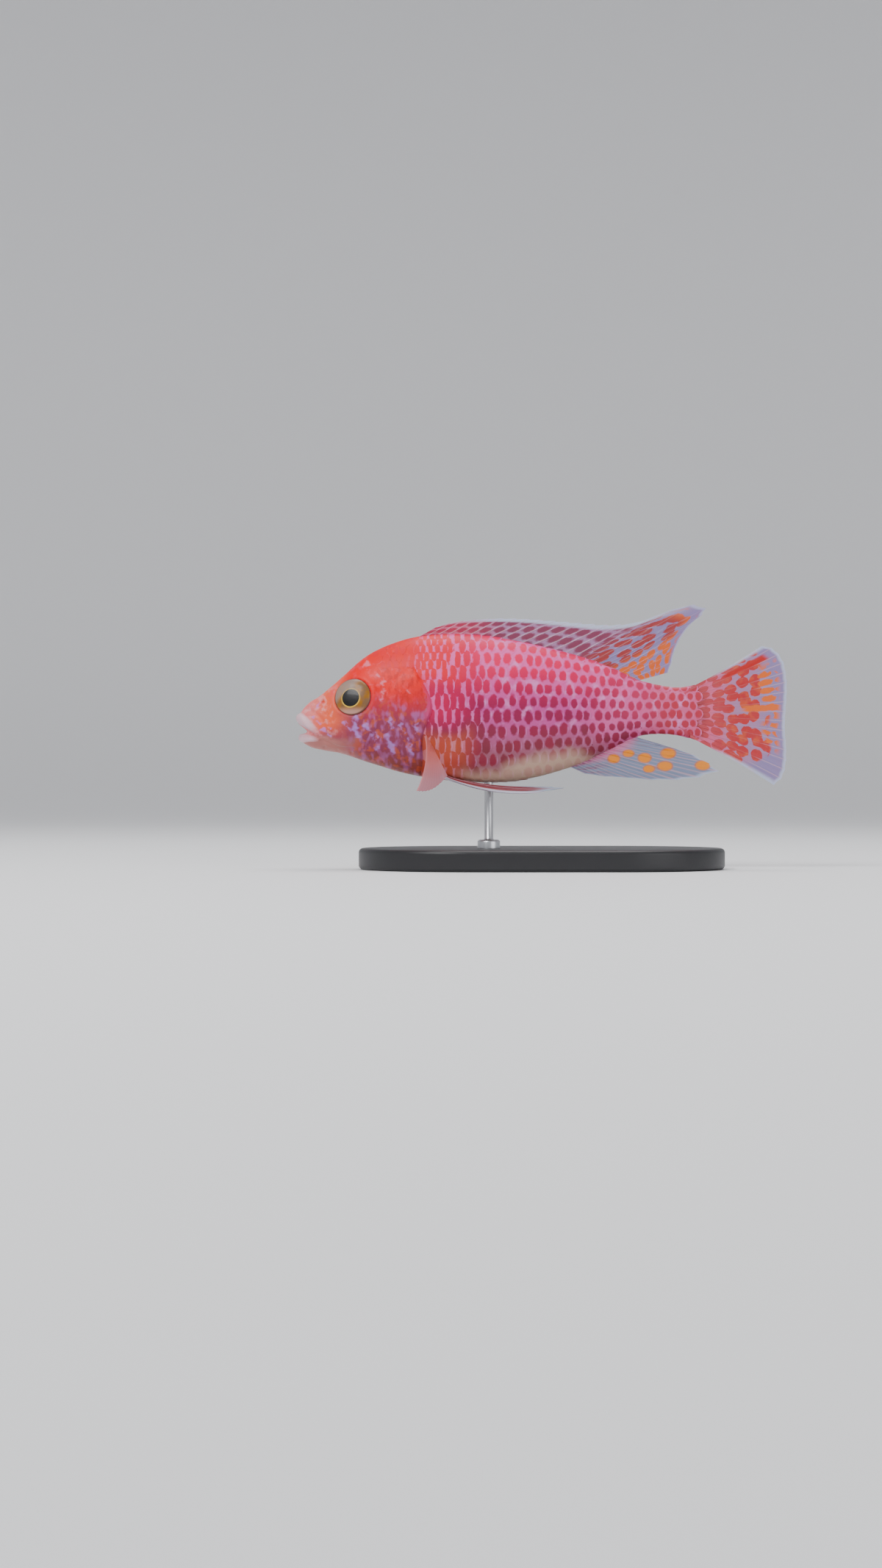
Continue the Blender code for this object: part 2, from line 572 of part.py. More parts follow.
def stand_base():
    """A flat plate with round ends and a softened edge."""
    end_radius = BASE_WIDTH / 2
    middle = BASE_LENGTH / 2 - end_radius
    outline = [(side * middle + end_radius * math.sin(a), end_radius * math.cos(a))
               for side, first in ((1, 0), (-1, math.pi))
               for a in np.linspace(first, first + math.pi, ROUND_SIDES)]
    shell = bmesh.new()
    ring = [shell.verts.new((x * MM, y * MM, 0)) for x, y in outline]
    floor = shell.faces.new(ring)
    raised = bmesh.ops.extrude_face_region(shell, geom=[floor])
    top = [v for v in raised["geom"] if isinstance(v, bmesh.types.BMVert)]
    bmesh.ops.translate(shell, verts=top, vec=(0, 0, BASE_HEIGHT * MM))
    bmesh.ops.recalc_face_normals(shell, faces=shell.faces)
    mesh = bpy.data.meshes.new("stand_base")
    shell.to_mesh(mesh)
    shell.free()
    mesh.materials.append(material(BASE))
    made = bpy.data.objects.new("stand_base", mesh)
    bpy.context.scene.collection.objects.link(made)
    edge = made.modifiers.new("soft_edge", "BEVEL")
    edge.width = BASE_BEVEL * MM
    edge.segments = 2
    edge.limit_method = "ANGLE"
    edge.angle_limit = math.radians(50)


def stand_rod():
    """A straight rod with a collar on the base, its top cut to the belly."""
    floor = BASE_HEIGHT - AXIS_HEIGHT + GAP
    shoulder = floor + COLLAR_HEIGHT
    profile = [(COLLAR_RADIUS, floor), (COLLAR_RADIUS, shoulder - COLLAR_CHAMFER),
               (COLLAR_RADIUS - COLLAR_CHAMFER, shoulder), (ROD_RADIUS, shoulder),
               (ROD_RADIUS, belly(ROD_U) + ROD_SPARE)]
    turns = np.linspace(0, 2 * math.pi, ROUND_SIDES, endpoint=False)
    rings = [[(ROD_U + r * math.cos(a), r * math.sin(a), v) for a in turns] for r, v in profile]
    made = tube("stand_rod", rings, STEEL)
    combined(made, "DIFFERENCE", [body_solid("clearance", GAP)])


def main():
    for old in list(bpy.data.objects):
        bpy.data.objects.remove(old)
    build_body()
    dorsal_fin()
    anal_fin()
    caudal_fin()
    for name, side in SIDES:
        pectoral_fin(name, side)
        pelvic_fin(name, side)
    stand_base()
    stand_rod()
    for made in bpy.context.scene.objects:
        made.data.shade_smooth()
        made.data.set_sharp_from_angle(angle=math.radians(40))


main()
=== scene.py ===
"""Peacock cichlid: the looks of the still, life-size model on its display stand.

Places are in the fish's own millimetres, as in the solids: u runs back from the tip of the
upper lip, y runs across with the left side at -y, and v runs up from the middle of the tail
stalk.
"""

import math

import bmesh
import bpy
import numpy as np
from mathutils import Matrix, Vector


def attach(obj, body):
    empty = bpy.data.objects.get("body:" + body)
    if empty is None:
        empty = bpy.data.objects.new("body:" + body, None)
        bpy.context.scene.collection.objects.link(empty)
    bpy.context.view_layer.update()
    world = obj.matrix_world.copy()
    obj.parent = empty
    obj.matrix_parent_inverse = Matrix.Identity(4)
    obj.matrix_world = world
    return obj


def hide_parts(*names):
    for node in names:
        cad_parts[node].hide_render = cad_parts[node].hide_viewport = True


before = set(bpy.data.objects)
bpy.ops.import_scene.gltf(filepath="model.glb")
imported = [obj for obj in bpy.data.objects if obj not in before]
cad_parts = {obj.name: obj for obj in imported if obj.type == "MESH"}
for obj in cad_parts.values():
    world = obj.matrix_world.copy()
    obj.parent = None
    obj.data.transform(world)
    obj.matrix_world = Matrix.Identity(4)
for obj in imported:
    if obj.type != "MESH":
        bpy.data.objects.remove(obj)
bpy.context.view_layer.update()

MM = 0.001
rng = np.random.default_rng(7)

# The whole fish, in millimetres, as in the solids
TOTAL_LENGTH = 140.0
AXIS_HEIGHT = 45.0  # of v = 0 above the floor

# Side outline and plan of the body: (u, size)
BACK = [
    (1.0, -1.6), (2.0, 0.2), (3.8, 2.2), (6.5, 3.9), (10.0, 6.7), (14.2, 10.4), (18.4, 14.2),
    (22.5, 17.0), (26.6, 19.0), (31.5, 20.6), (41.2, 22.0), (53.7, 21.6), (66.1, 19.6),
    (78.6, 16.4), (89.0, 13.1), (97.3, 9.2), (103.6, 7.4), (109.0, 6.8), (114.0, 7.6),
]
BELLY = [
    (1.0, -7.4), (2.1, -8.9), (3.7, -10.0), (7.9, -11.2), (12.5, -12.0), (20.4, -14.6),
    (28.7, -17.4), (36.0, -19.0), (45.3, -20.1), (53.7, -20.5), (62.0, -20.2), (70.3, -18.7),
    (76.5, -16.8), (86.9, -12.6), (94.2, -8.9), (98.4, -7.2), (103.6, -6.7), (109.8, -7.4),
    (114.0, -8.8),
]
HALF_WIDTH = [
    (1.0, 1.9), (2.4, 3.2), (5.0, 4.5), (8.1, 5.6), (12.5, 6.9), (17.0, 8.0), (24.0, 9.1),
    (31.0, 9.8), (38.0, 10.0), (46.0, 9.8), (57.0, 9.0), (68.0, 7.6), (79.0, 5.9), (90.0, 4.2),
    (98.0, 3.1), (105.0, 2.4), (110.0, 2.1), (114.0, 1.6),
]
WIDEST_LEVEL = [(1.0, -4.6), (8.0, -4.6), (17.0, -3.4), (31.0, -1.2), (46.0, 0.2), (62.0, 0.8),
                (80.0, 0.4), (98.0, 0.6), (114.0, -0.4)]
BACK_KEEL = [(1.0, 1.0), (12.0, 1.05), (24.0, 1.15), (45.0, 1.3), (80.0, 1.2), (114.0, 1.0)]
BELLY_KEEL = [(1.0, 0.95), (20.0, 1.05), (34.0, 0.95), (52.0, 0.85), (72.0, 0.95), (90.0, 1.1),
              (114.0, 1.0)]
BODY_FRONT, BODY_END = 1.0, 113.6
OUTLINE_END = 114.0  # of the curves above

# Skin: how finely it is made, and how far it lies under the scales' outer faces
SKIN_STATIONS, SKIN_SIDES = 240, 150
SKIN_GRAIN, SKIN_EVENING = 0.33, 6  # size of its faces and rounds of smoothing
SCALE_DEPTH = 0.26
SCALES_START = (19.0, 27.0)  # the skin sinks to that depth between these places

# Mouth, lips and eyes
MOUTH = [(-2.0, -3.0), (1.0, -3.8), (3.4, -5.6), (5.0, -6.45), (5.0, -6.6), (3.4, -6.3),
         (1.0, -6.8), (-2.0, -7.1)]
UPPER_LIP = {"front": (1.5, -2.1), "corner": (7.2, -7.0), "radii": (1.4, 0.55)}
LOWER_LIP = {"front": (2.0, -7.7), "corner": (7.4, -8.6), "radii": (1.15, 0.45)}
MOUTH_HALF_WIDTH, MOUTH_CUT_REACH = 5.1, 20.0
LIP_SIDES, LIP_RINGS, LIP_STEPS = 32, 61, 81
LIP_TAPER = 0.7  # how much of its radius a lip loses at the corner of the mouth
EYE_CENTRE = (16.6, 3.7)
EYE_RADIUS, EYE_HALF_DEPTH, EYE_STANDS_OUT = 5.4, 1.6, 1.0
EYE_CUP_DEPTH, EYE_CUP_EDGE = 1.4, 1.0  # how far the skin sinks behind each eye, and its slope
EYE_FORWARD, EYE_UPWARD = math.radians(17.0), math.radians(15.0)
ORBIT_RIM_RADIUS, ORBIT_RIM_RISE, ORBIT_RIM_WIDTH = 6.0, 0.4, 0.9
PUPIL = (-0.2, -0.6)  # off the eye's middle
PUPIL_RADIUS = 2.5
EYE_SHOWN, EYE_RINGS = (-0.97, 0.995), 60  # rings from near the back, -1, to near the front, 1

# Gill cover: rear and front margins as (v, u)
GILL_MARGIN = [(-20.5, 34.6), (-16.0, 35.8), (-11.0, 35.9), (-7.0, 36.1), (-3.5, 37.3),
               (-0.5, 38.5), (2.0, 38.6), (5.5, 37.2), (9.0, 35.2), (13.0, 33.5), (16.0, 33.1),
               (22.5, 33.0)]
COVER_FRONT = [(-17.0, 31.4), (-15.8, 28.4), (-13.0, 26.2), (-9.0, 25.2), (-3.0, 25.3),
               (3.0, 26.7), (7.5, 28.8), (10.0, 30.8), (11.0, 32.2)]
COVER_RISE, COVER_FRONT_SHARE = 0.6, 0.12
COVER_LEVELS = (-17, 11)  # lowest and highest v of the cover's front margin
GROOVE_DEPTH, GROOVE_WIDTH = 0.2, 0.5  # behind the rear margin

# Folds of the head as side-view lines, each with its depth and half width
FOLDS = [
    ([(3.4, 0.6), (6.2, -1.0), (8.6, -4.0), (9.2, -7.4)], 0.30, 0.45),  # behind the upper lip
    ([(8.4, -8.6), (12.7, -10.5), (16.6, -10.8)], 0.30, 0.45),  # over the lower jaw
    ([(23.6, 5.0), (24.2, 0.0), (23.8, -5.0), (22.2, -8.6), (19.0, -11.2)], 0.2, 0.8),
    ([(11.0, -2.2), (14.5, -4.6), (18.5, -4.6)], 0.16, 0.6),  # under the bone below the eye
]
# Sensory pits of the head, as (u, v)
PITS = [(9.0, -1.0), (11.0, -3.0), (13.7, -5.6), (17.2, -5.9), (21.8, -3.4), (21.6, -6.8),
        (19.6, -9.6), (16.0, -12.0), (12.0, -11.4), (8.4, -10.4)]
PIT_DEPTH, PIT_RADIUS = 0.24, 0.5
NOSTRIL, NOSTRIL_DEPTH, NOSTRIL_RADIUS, NOSTRIL_RIM = (7.9, 2.6), 0.9, 0.5, 0.16
CHEEK_CENTRE, CHEEK_REACH, CHEEK_RISE = (21.0, -5.0), (3.2, 4.5), 0.3

# Fins, as in the solids
SPINES = 16
SPINE_BASES, SPINE_TIPS = (33.6, 79.2), (40.2, 96.4)
SOFT_BASES = (81.2, 97.0)
DORSAL_EDGE = [(40.2, 23.9), (45.3, 25.3), (53.7, 26.2), (59.0, 26.4), (66.1, 26.2),
               (73.4, 25.7), (82.0, 25.0), (89.5, 24.5), (96.4, 25.1)]
SOFT_TIPS = [(102.0, 26.8), (107.4, 28.9), (113.2, 30.3), (116.8, 29.2), (115.6, 27.2),
             (112.6, 24.8), (110.5, 22.2), (109.0, 19.6), (107.8, 16.7), (107.1, 13.8),
             (106.0, 10.9)]
ANAL_RAYS = [(77.4, 82.4, -17.9), (79.1, 88.0, -18.7), (80.9, 94.4, -19.1),
             (82.8, 101.2, -19.7), (84.9, 108.4, -19.7), (87.0, 114.8, -19.0),
             (89.0, 120.6, -17.2), (91.0, 117.6, -14.9), (92.8, 113.4, -12.5),
             (94.5, 108.6, -10.9), (96.0, 103.6, -9.4)]
CAUDAL_EDGE = [(132.8, 18.5), (136.0, 17.8), (138.6, 14.8), (139.7, 10.8), (140.0, 6.5),
               (139.7, 1.0), (139.4, -5.0), (139.8, -10.0), (139.7, -14.5), (138.6, -19.0),
               (136.2, -21.1)]
CAUDAL_RAYS = 17
CAUDAL_ROOT = (7.1, -8.1)  # v of its first and last ray where the body ends
CAUDAL_ROOT_SHARE, CAUDAL_INSET = 0.93, 1.4  # the rays start closer together inside the body
CAUDAL_BOW, TAIL_SWEEP = 0.45, 1.6
PECTORAL_FIRST = ((36.9, -6.6), (34.6, 24.5, -22.8))
PECTORAL_LAST = ((39.2, -10.8), (43.2, 15.5, -18.6))
PECTORAL_RAYS, PECTORAL_BOW, PECTORAL_ROUNDING = 11, 1.4, 1.6
PELVIC_RAYS = [((41.4, 5.0), (68.6, 8.6, -23.2)), ((41.5, 4.5), (76.0, 8.2, -21.9)),
               ((41.6, 4.0), (72.6, 6.9, -21.6)), ((41.7, 3.4), (66.0, 5.6, -21.5)),
               ((41.8, 2.9), (59.6, 4.4, -21.6)), ((41.9, 2.3), (53.0, 3.2, -21.9))]
PELVIC_BOW = 1.9
MIDDLE_INSET, PAIRED_INSET = 0.9, 1.2  # how deep the fins' roots lie in the body
# How far the web dips between two rays, as a share of their length
SPINE_NOTCH, SOFT_NOTCH, ANAL_NOTCH, CAUDAL_NOTCH = 0.055, 0.012, 0.03, 0.006
PECTORAL_NOTCH, PELVIC_NOTCH = 0.01, 0.03
PECTORAL_RELIEF, PELVIC_RELIEF = 0.2, 0.8  # height of the ridges, of the other fins'
FIN_ROWS, WEB_STEPS = 44, 10
WEB_HALF, RAY_HALF, TIP_HALF = 0.13, 0.3, 0.07
MIDDLE_FLARE, CAUDAL_FLARE, PAIRED_FLARE = 0.5, 0.9, 0.35  # how much thicker at the root
RAY_WIDTH, RAY_BRANCH = 0.085, 0.22  # of a ridge and of its fork, in the space between rays

# Stand
BASE_LENGTH, BASE_WIDTH, BASE_HEIGHT = 104.0, 62.0, 6.0
BASE_EDGE, BASE_EDGE_RINGS = 1.2, 8  # radius of its rounded edges
ROD_U, ROD_RADIUS, ROD_INSET = 55.0, 1.25, 0.6
COLLAR_RADIUS, COLLAR_HEIGHT, COLLAR_CHAMFER = 3.2, 2.4, 0.6
ROUND_SIDES = 96

SIDES = (("left", -1), ("right", 1))
UP, ACROSS = np.array([0.0, 0.0, 1.0]), np.array([0.0, 1.0, 0.0])


# Curves and the body's surface

def smooth_curve(points):
    """A cubic through (x, value) points, as a function of x."""
    xs, ys = (np.array(column, float) for column in zip(*points))
    slopes = np.gradient(ys, xs)

    def value(x):
        x = np.clip(x, xs[0], xs[-1])
        i = np.clip(np.searchsorted(xs, x) - 1, 0, len(xs) - 2)
        span = xs[i + 1] - xs[i]
        t = (x - xs[i]) / span
        start = ys[i] * (1 + 2 * t) * (1 - t) ** 2 + slopes[i] * span * t * (1 - t) ** 2
        end = ys[i + 1] * t * t * (3 - 2 * t) - slopes[i + 1] * span * t * t * (1 - t)
        return start + end

    return value


def smoothstep(x, low, high):
    t = np.clip((x - low) / (high - low), 0, 1)
    return t * t * (3 - 2 * t)


def bump(off, width):
    """1 where off is 0, falling away smoothly over about the width."""
    return np.exp(-((off / width) ** 2))


def turns(count):
    """Angles that part a full turn evenly."""
    return np.linspace(0, 2 * math.pi, count, endpoint=False)


def spread_along(points, count):
    """count places, evenly spread along a smooth line through the points."""
    points = np.array(points, float)
    steps = np.linalg.norm(np.diff(points, axis=0), axis=1)
    along = np.concatenate([[0], np.cumsum(steps)])
    at = np.linspace(0, along[-1], count)
    return np.stack([smooth_curve(list(zip(along, p)))(at) for p in points.T], axis=1)


def line_distance(u, v, points):
    """How far each side-view place (u, v) is from a line through the points."""
    line = spread_along(points, 24)
    nearest = np.full(np.shape(u), 1e9)
    for (au, av), (bu, bv) in zip(line[:-1], line[1:]):
        run, rise = bu - au, bv - av
        t = np.clip(((u - au) * run + (v - av) * rise) / (run**2 + rise**2), 0, 1)
        nearest = np.minimum(nearest, np.hypot(u - au - t * run, v - av - t * rise))
    return nearest


back, belly = smooth_curve(BACK), smooth_curve(BELLY)
half_width, widest_level = smooth_curve(HALF_WIDTH), smooth_curve(WIDEST_LEVEL)
back_keel, belly_keel = smooth_curve(BACK_KEEL), smooth_curve(BELLY_KEEL)
gill_margin, cover_front = smooth_curve(GILL_MARGIN), smooth_curve(COVER_FRONT)


def orbit_rise(u, v):
    """Height of the low rim that rings each eye."""
    off = np.hypot(u - EYE_CENTRE[0], v - EYE_CENTRE[1]) - ORBIT_RIM_RADIUS
    return ORBIT_RIM_RISE * bump(off, ORBIT_RIM_WIDTH)


def section(u, turn, grow=0.0):
    """Places (y, v) on the body's section at u. turn is 0 at the back and pi at the belly."""
    rise, across = np.cos(turn), np.sin(turn)
    middle = widest_level(u)
    v = middle + np.where(rise > 0, back(u) - middle + grow, middle - belly(u) + grow) * rise
    keel = np.where(rise > 0, back_keel(u), belly_keel(u))
    width = (half_width(u) + grow) * np.abs(across) ** keel
    width = width + orbit_rise(u, v) * np.abs(across)
    return np.sign(across) * width, v


def flank(u, v):
    """Half the body's width at a place in side view."""
    middle = widest_level(u)
    above = v > middle
    reach = np.where(above, back(u) - middle, middle - belly(u))
    share = np.clip(np.abs(v - middle) / reach, 0, 1)
    keel = np.where(above, back_keel(u), belly_keel(u))
    return half_width(u) * (1 - share**2) ** (keel / 2)


def to_world(places):
    """Fish millimetres (u, y, v) to metres."""
    return (np.asarray(places, float) + [-TOTAL_LENGTH / 2, 0, AXIS_HEIGHT]) * MM


def to_fish(places):
    """Metres to fish millimetres (u, y, v)."""
    return np.asarray(places, float) / MM - [-TOTAL_LENGTH / 2, 0, AXIS_HEIGHT]


# Meshes and objects

SHARP_ANGLE = math.radians(55)


def in_scene(name, data):
    """A new object in the scene."""
    made = bpy.data.objects.new(name, data)
    bpy.context.scene.collection.objects.link(made)
    return made


def new_object(name, places, faces):
    """A mesh object from fish millimetres."""
    mesh = bpy.data.meshes.new(name)
    mesh.from_pydata(to_world(places).tolist(), [], faces)
    mesh.update()
    return in_scene(name, mesh)


def turn_outwards(thing):
    shell = bmesh.new()
    shell.from_mesh(thing.data)
    bmesh.ops.remove_doubles(shell, verts=shell.verts, dist=1e-7)
    bmesh.ops.recalc_face_normals(shell, faces=shell.faces)
    if shell.calc_volume(signed=True) < 0:
        bmesh.ops.reverse_faces(shell, faces=shell.faces)
    shell.to_mesh(thing.data)
    shell.free()
    return thing


def add_map(thing, name, values):
    """A UV map from one (x, y) for each vertex."""
    mesh = thing.data
    corner = np.empty(len(mesh.loops), np.int32)
    mesh.loops.foreach_get("vertex_index", corner)
    made = mesh.uv_layers.new(name=name)
    made.data.foreach_set("uv", np.asarray(values, np.float32)[corner].ravel())


def add_values(thing, name, values):
    """A number for each vertex, for the material to read."""
    made = thing.data.attributes.new(name, "FLOAT", "POINT")
    made.data.foreach_set("value", np.asarray(values, np.float32))


def vertices(thing, what="co"):
    """The places of a thing's vertices, or their normals."""
    values = np.empty(len(thing.data.vertices) * 3)
    thing.data.vertices.foreach_get(what, values)
    return values.reshape(-1, 3)


def dress(thing, finish, slot, *nodes):
    """Gives a piece its material and its place in the model."""
    thing.data.materials.clear()
    thing.data.materials.append(finish)
    thing.data.shade_smooth()
    thing.data.set_sharp_from_angle(angle=SHARP_ANGLE)
    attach(thing, "root")
    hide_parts(*nodes)


def tube_faces(count, sides):
    """Faces of a closed skin over rings of points, with its ends capped."""
    i, j = np.meshgrid(np.arange(count - 1), np.arange(sides), indexing="ij")
    k = (j + 1) % sides
    quads = np.stack([i * sides + j, i * sides + k, (i + 1) * sides + k, (i + 1) * sides + j], -1)
    ends = [list(range(sides)), list(range((count - 1) * sides, count * sides))]
    return quads.reshape(-1, 4).tolist() + ends


def tube(name, rings):
    rings = np.array(rings)
    faces = tube_faces(*rings.shape[:2])
    return turn_outwards(new_object(name, rings.reshape(-1, 3), faces))


def sheet_faces(rows, columns):
    """Triangles of a closed sheet: two like grids of points, split alike, and their rim."""
    other = rows * columns
    i, j = np.meshgrid(np.arange(rows - 1), np.arange(columns - 1), indexing="ij")
    a = (i * columns + j).ravel()
    b, c, d = a + 1, a + 1 + columns, a + columns
    near = np.concatenate([np.stack([a, b, c], 1), np.stack([a, c, d], 1)])
    rim = np.concatenate([np.arange(columns), np.arange(1, rows) * columns + columns - 1,
                          (rows - 1) * columns + np.arange(columns - 2, -1, -1),
                          np.arange(rows - 2, 0, -1) * columns])
    after = np.roll(rim, -1)
    edge = np.concatenate([np.stack([rim, rim + other, after + other], 1),
                           np.stack([rim, after + other, after], 1)])
    return np.concatenate([near, near[:, ::-1] + other, edge]).tolist()


def apply_modifiers(thing):
    graph = bpy.context.evaluated_depsgraph_get()
    shaped = bpy.data.meshes.new_from_object(thing.evaluated_get(graph))
    thing.modifiers.clear()
    thing.data = shaped


def combine(thing, operation, *others):
    """Cuts the other objects from the thing or joins them to it, and removes them."""
    for other in others:
        cut = thing.modifiers.new("combine", "BOOLEAN")
        cut.object = other
        cut.operation = operation
        cut.solver = "EXACT"
    bpy.context.view_layer.update()
    apply_modifiers(thing)
    for other in others:
        bpy.data.objects.remove(other)


# Materials, whose patterns are written as sums

VIVIDNESS, BRIGHTNESS = 1.45, 0.82


def tint(red, green, blue):
    """A colour from its red, green and blue out of 255, a little more vivid."""
    levels = np.array([red, green, blue]) / 255
    linear = np.where(levels <= 0.04045, levels / 12.92, ((levels + 0.055) / 1.055) ** 2.4)
    grey = linear @ [0.2126, 0.7152, 0.0722]
    vivid = np.clip(grey + (linear - grey) * VIVIDNESS, 0.002, 1) * BRIGHTNESS
    return (*np.clip(vivid, 0.0, 0.95).tolist(), 1.0)


def feed(tree, slot, value):
    if isinstance(value, Value):
        tree.links.new(value.socket, slot)
    else:
        slot.default_value = value


class Value:
    """What a node gives, a number or a colour, which can be summed like a plain number."""

    def __init__(self, tree, socket):
        self.tree, self.socket = tree, socket

    def maths(self, operation, first, second):
        node = self.tree.nodes.new("ShaderNodeMath")
        node.operation = operation
        feed(self.tree, node.inputs[0], first)
        feed(self.tree, node.inputs[1], second)
        return Value(self.tree, node.outputs[0])

    def __rsub__(self, other):
        return self.maths("SUBTRACT", other, self)

    def ramp(self, low, high):
        """0 below low and 1 above high, or the other way round if low is the larger."""
        node = self.tree.nodes.new("ShaderNodeMapRange")
        node.interpolation_type = "SMOOTHSTEP"
        feed(self.tree, node.inputs["Value"], self)
        feed(self.tree, node.inputs["From Min"], low)
        feed(self.tree, node.inputs["From Max"], high)
        return Value(self.tree, node.outputs["Result"])


def sum_of(operation):
    """A method of Value that works one operation on it and another value."""

    def method(self, other=0.0):
        return self.maths(operation, self, other)

    return method


for method_name, operation in {
        "__add__": "ADD", "__sub__": "SUBTRACT", "__mul__": "MULTIPLY", "__truediv__": "DIVIDE",
        "__pow__": "POWER", "__abs__": "ABSOLUTE", "fraction": "FRACT", "floor": "FLOOR",
        "sine": "SINE", "most": "MAXIMUM"}.items():
    setattr(Value, method_name, sum_of(operation))


class Paint:
    """One material and its nodes."""

    def __init__(self, name):
        self.material = bpy.data.materials.new(name)
        self.material.use_nodes = True
        self.tree = self.material.node_tree
        self.shader = self.tree.nodes["Principled BSDF"]
        self.here = self.node("ShaderNodeTexCoord").outputs["Object"]

    def node(self, kind, **settings):
        made = self.tree.nodes.new(kind)
        for key, value in settings.items():
            setattr(made, key, value)
        return made

    def split(self, socket):
        parts = self.node("ShaderNodeSeparateXYZ")
        self.tree.links.new(socket, parts.inputs[0])
        return [Value(self.tree, out) for out in parts.outputs]

    def place(self):
        """The place's u and v."""
        x, _, z = self.split(self.here)
        return x * (1 / MM) + TOTAL_LENGTH / 2, z * (1 / MM) - AXIS_HEIGHT

    def map(self, name):
        return self.split(self.node("ShaderNodeUVMap", uv_map=name).outputs[0])[:2]

    def values(self, name):
        node = self.node("ShaderNodeAttribute", attribute_name=name)
        return Value(self.tree, node.outputs["Fac"])

    def join(self, x, y, z=0.0):
        node = self.node("ShaderNodeCombineXYZ")
        for slot, value in zip(node.inputs, (x, y, z)):
            feed(self.tree, slot, value)
        return node.outputs[0]

    def noise(self, size, detail=2.0, at=None):
        """Noise from 0 to 1, with features about as large as size, in millimetres."""
        node = self.node("ShaderNodeTexNoise")
        self.tree.links.new(at or self.here, node.inputs["Vector"])
        node.inputs["Scale"].default_value = 1 / size if at else 1 / (size * MM)
        node.inputs["Detail"].default_value = detail
        return Value(self.tree, node.outputs["Fac"])

    def mix(self, share, first, second):
        """A colour between the first and the second."""
        node = self.node("ShaderNodeMix", data_type="RGBA")
        feed(self.tree, node.inputs["Factor"], share)
        colours = [slot for slot in node.inputs if slot.type == "RGBA"]
        feed(self.tree, colours[0], first)
        feed(self.tree, colours[1], second)
        return Value(self.tree, [out for out in node.outputs if out.type == "RGBA"][0])

    def layers(self, colour, *coats):
        """The colour under coats of (share, colour), each laid over those before it."""
        for share, coat in coats:
            colour = self.mix(share, colour, coat)
        return colour

    def finish(self, colour, roughness, height=None, depth=0.1, **settings):
        """Sets the shader. height is raised by up to depth millimetres as bump."""
        feed(self.tree, self.shader.inputs["Base Color"], colour)
        feed(self.tree, self.shader.inputs["Roughness"], roughness)
        for key, value in settings.items():
            feed(self.tree, self.shader.inputs[key.replace("_", " ")], value)
        if height is not None:
            raised = self.node("ShaderNodeBump")
            raised.inputs["Strength"].default_value = 1.0
            raised.inputs["Distance"].default_value = depth * MM
            feed(self.tree, raised.inputs["Height"], height)
            self.tree.links.new(raised.outputs[0], self.shader.inputs["Normal"])
        return self.material


# Marks that both the skin and the scales carry, as numbers from 0 to 1 by place

# Pale flecks of the head and shoulder: side-view lines and their half widths
FLECKS = [
    ([(17.3, -1.9), (17.1, -4.6), (17.8, -7.3)], 0.6), ([(20.1, -4.4), (22.2, -6.7)], 0.55),
    ([(14.2, -3.6), (15.9, -5.2)], 0.45), ([(10.0, -4.1), (10.2, -4.9)], 0.4),
    ([(23.0, -6.9), (23.4, -11.1)], 0.5), ([(26.1, -7.5), (28.0, -11.5)], 0.65),
    ([(32.2, -8.6), (33.0, -12.3)], 0.55), ([(29.9, -3.8), (30.7, -6.9)], 0.45),
    ([(27.0, -2.3), (27.4, -4.8)], 0.4), ([(34.0, -3.8), (34.6, -5.9)], 0.5),
    ([(20.5, 13.6), (19.9, 11.9)], 0.6), ([(22.8, 10.0), (24.7, 9.2)], 0.4),
    ([(25.0, 8.6), (25.3, 4.8)], 0.4), ([(24.4, 4.0), (24.7, 3.2)], 0.45),
    ([(7.3, 2.2), (6.1, 1.0)], 0.4), ([(5.6, -2.0), (7.1, -3.6)], 0.4),
    ([(7.9, -5.4), (10.4, -7.1)], 0.35), ([(30.8, 5.6), (32.0, 4.6)], 0.4),
]


def fleck_marks(u, v):
    """1 on the pale flecks of the head, whose edges waver, and 0 away from them."""
    marks = np.zeros_like(u)
    near_u = u + 0.35 * np.sin(2.6 * v + 1.3 * u) + 0.2 * np.sin(5.3 * v)
    near_v = v + 0.3 * np.sin(2.1 * u)
    for line, size in FLECKS:
        off = line_distance(near_u, near_v, line)
        marks = np.maximum(marks, 1 - smoothstep(off, size * 0.3, size * 1.9))
    return marks


# Skin: one closed surface of head, jaw, gill covers and trunk

def lip_path(shape, count):
    """The middle of a lip, from one corner of the mouth round the snout to the other.

    It gives how far along each place is, from -1 to 1, the place, and the radius there.
    """
    along = np.linspace(-1, 1, count)
    front, corner = np.array(shape["front"]), np.array(shape["corner"])
    thick, thin = shape["radii"]
    u, v = (front + (corner - front) * along[:, None] ** 2).T
    line = np.stack([u, MOUTH_HALF_WIDTH * np.sin(along * math.pi / 2), v], axis=1)
    return along, line, thick + (thin - thick) * along**2


def lip(name, shape):
    """A lip as a round bead that tapers into the corners of the mouth."""
    turn = turns(LIP_SIDES)[:, None]
    depth = shape["corner"][0] - shape["front"][0]
    rings = []
    for along, middle, radius in zip(*lip_path(shape, LIP_RINGS)):
        out = np.array([1.4 * MOUTH_HALF_WIDTH, -2 * along * depth, 0])
        out = out / np.linalg.norm(out)
        radius = radius * (1 - LIP_TAPER * along**14)
        rings.append(middle + radius * (np.cos(turn) * out + np.sin(turn) * UP))
    return tube(name, rings)


def lip_marks(places):
    """1 on the lips and 0 away from them, fading at the corners of the mouth."""
    marks = np.zeros(len(places))
    near = np.flatnonzero(places[:, 0] < 10)
    for shape in (UPPER_LIP, LOWER_LIP):
        along, line, radius = lip_path(shape, LIP_STEPS)
        off = np.linalg.norm(places[near, None] - line[None], axis=2) / radius
        fade = smoothstep(np.abs(along), 1.0, 0.7)[off.argmin(axis=1)]
        on_lip = (1 - smoothstep(off.min(axis=1), 0.95, 1.35)) * fade
        marks[near] = np.maximum(marks[near], on_lip)
    return marks


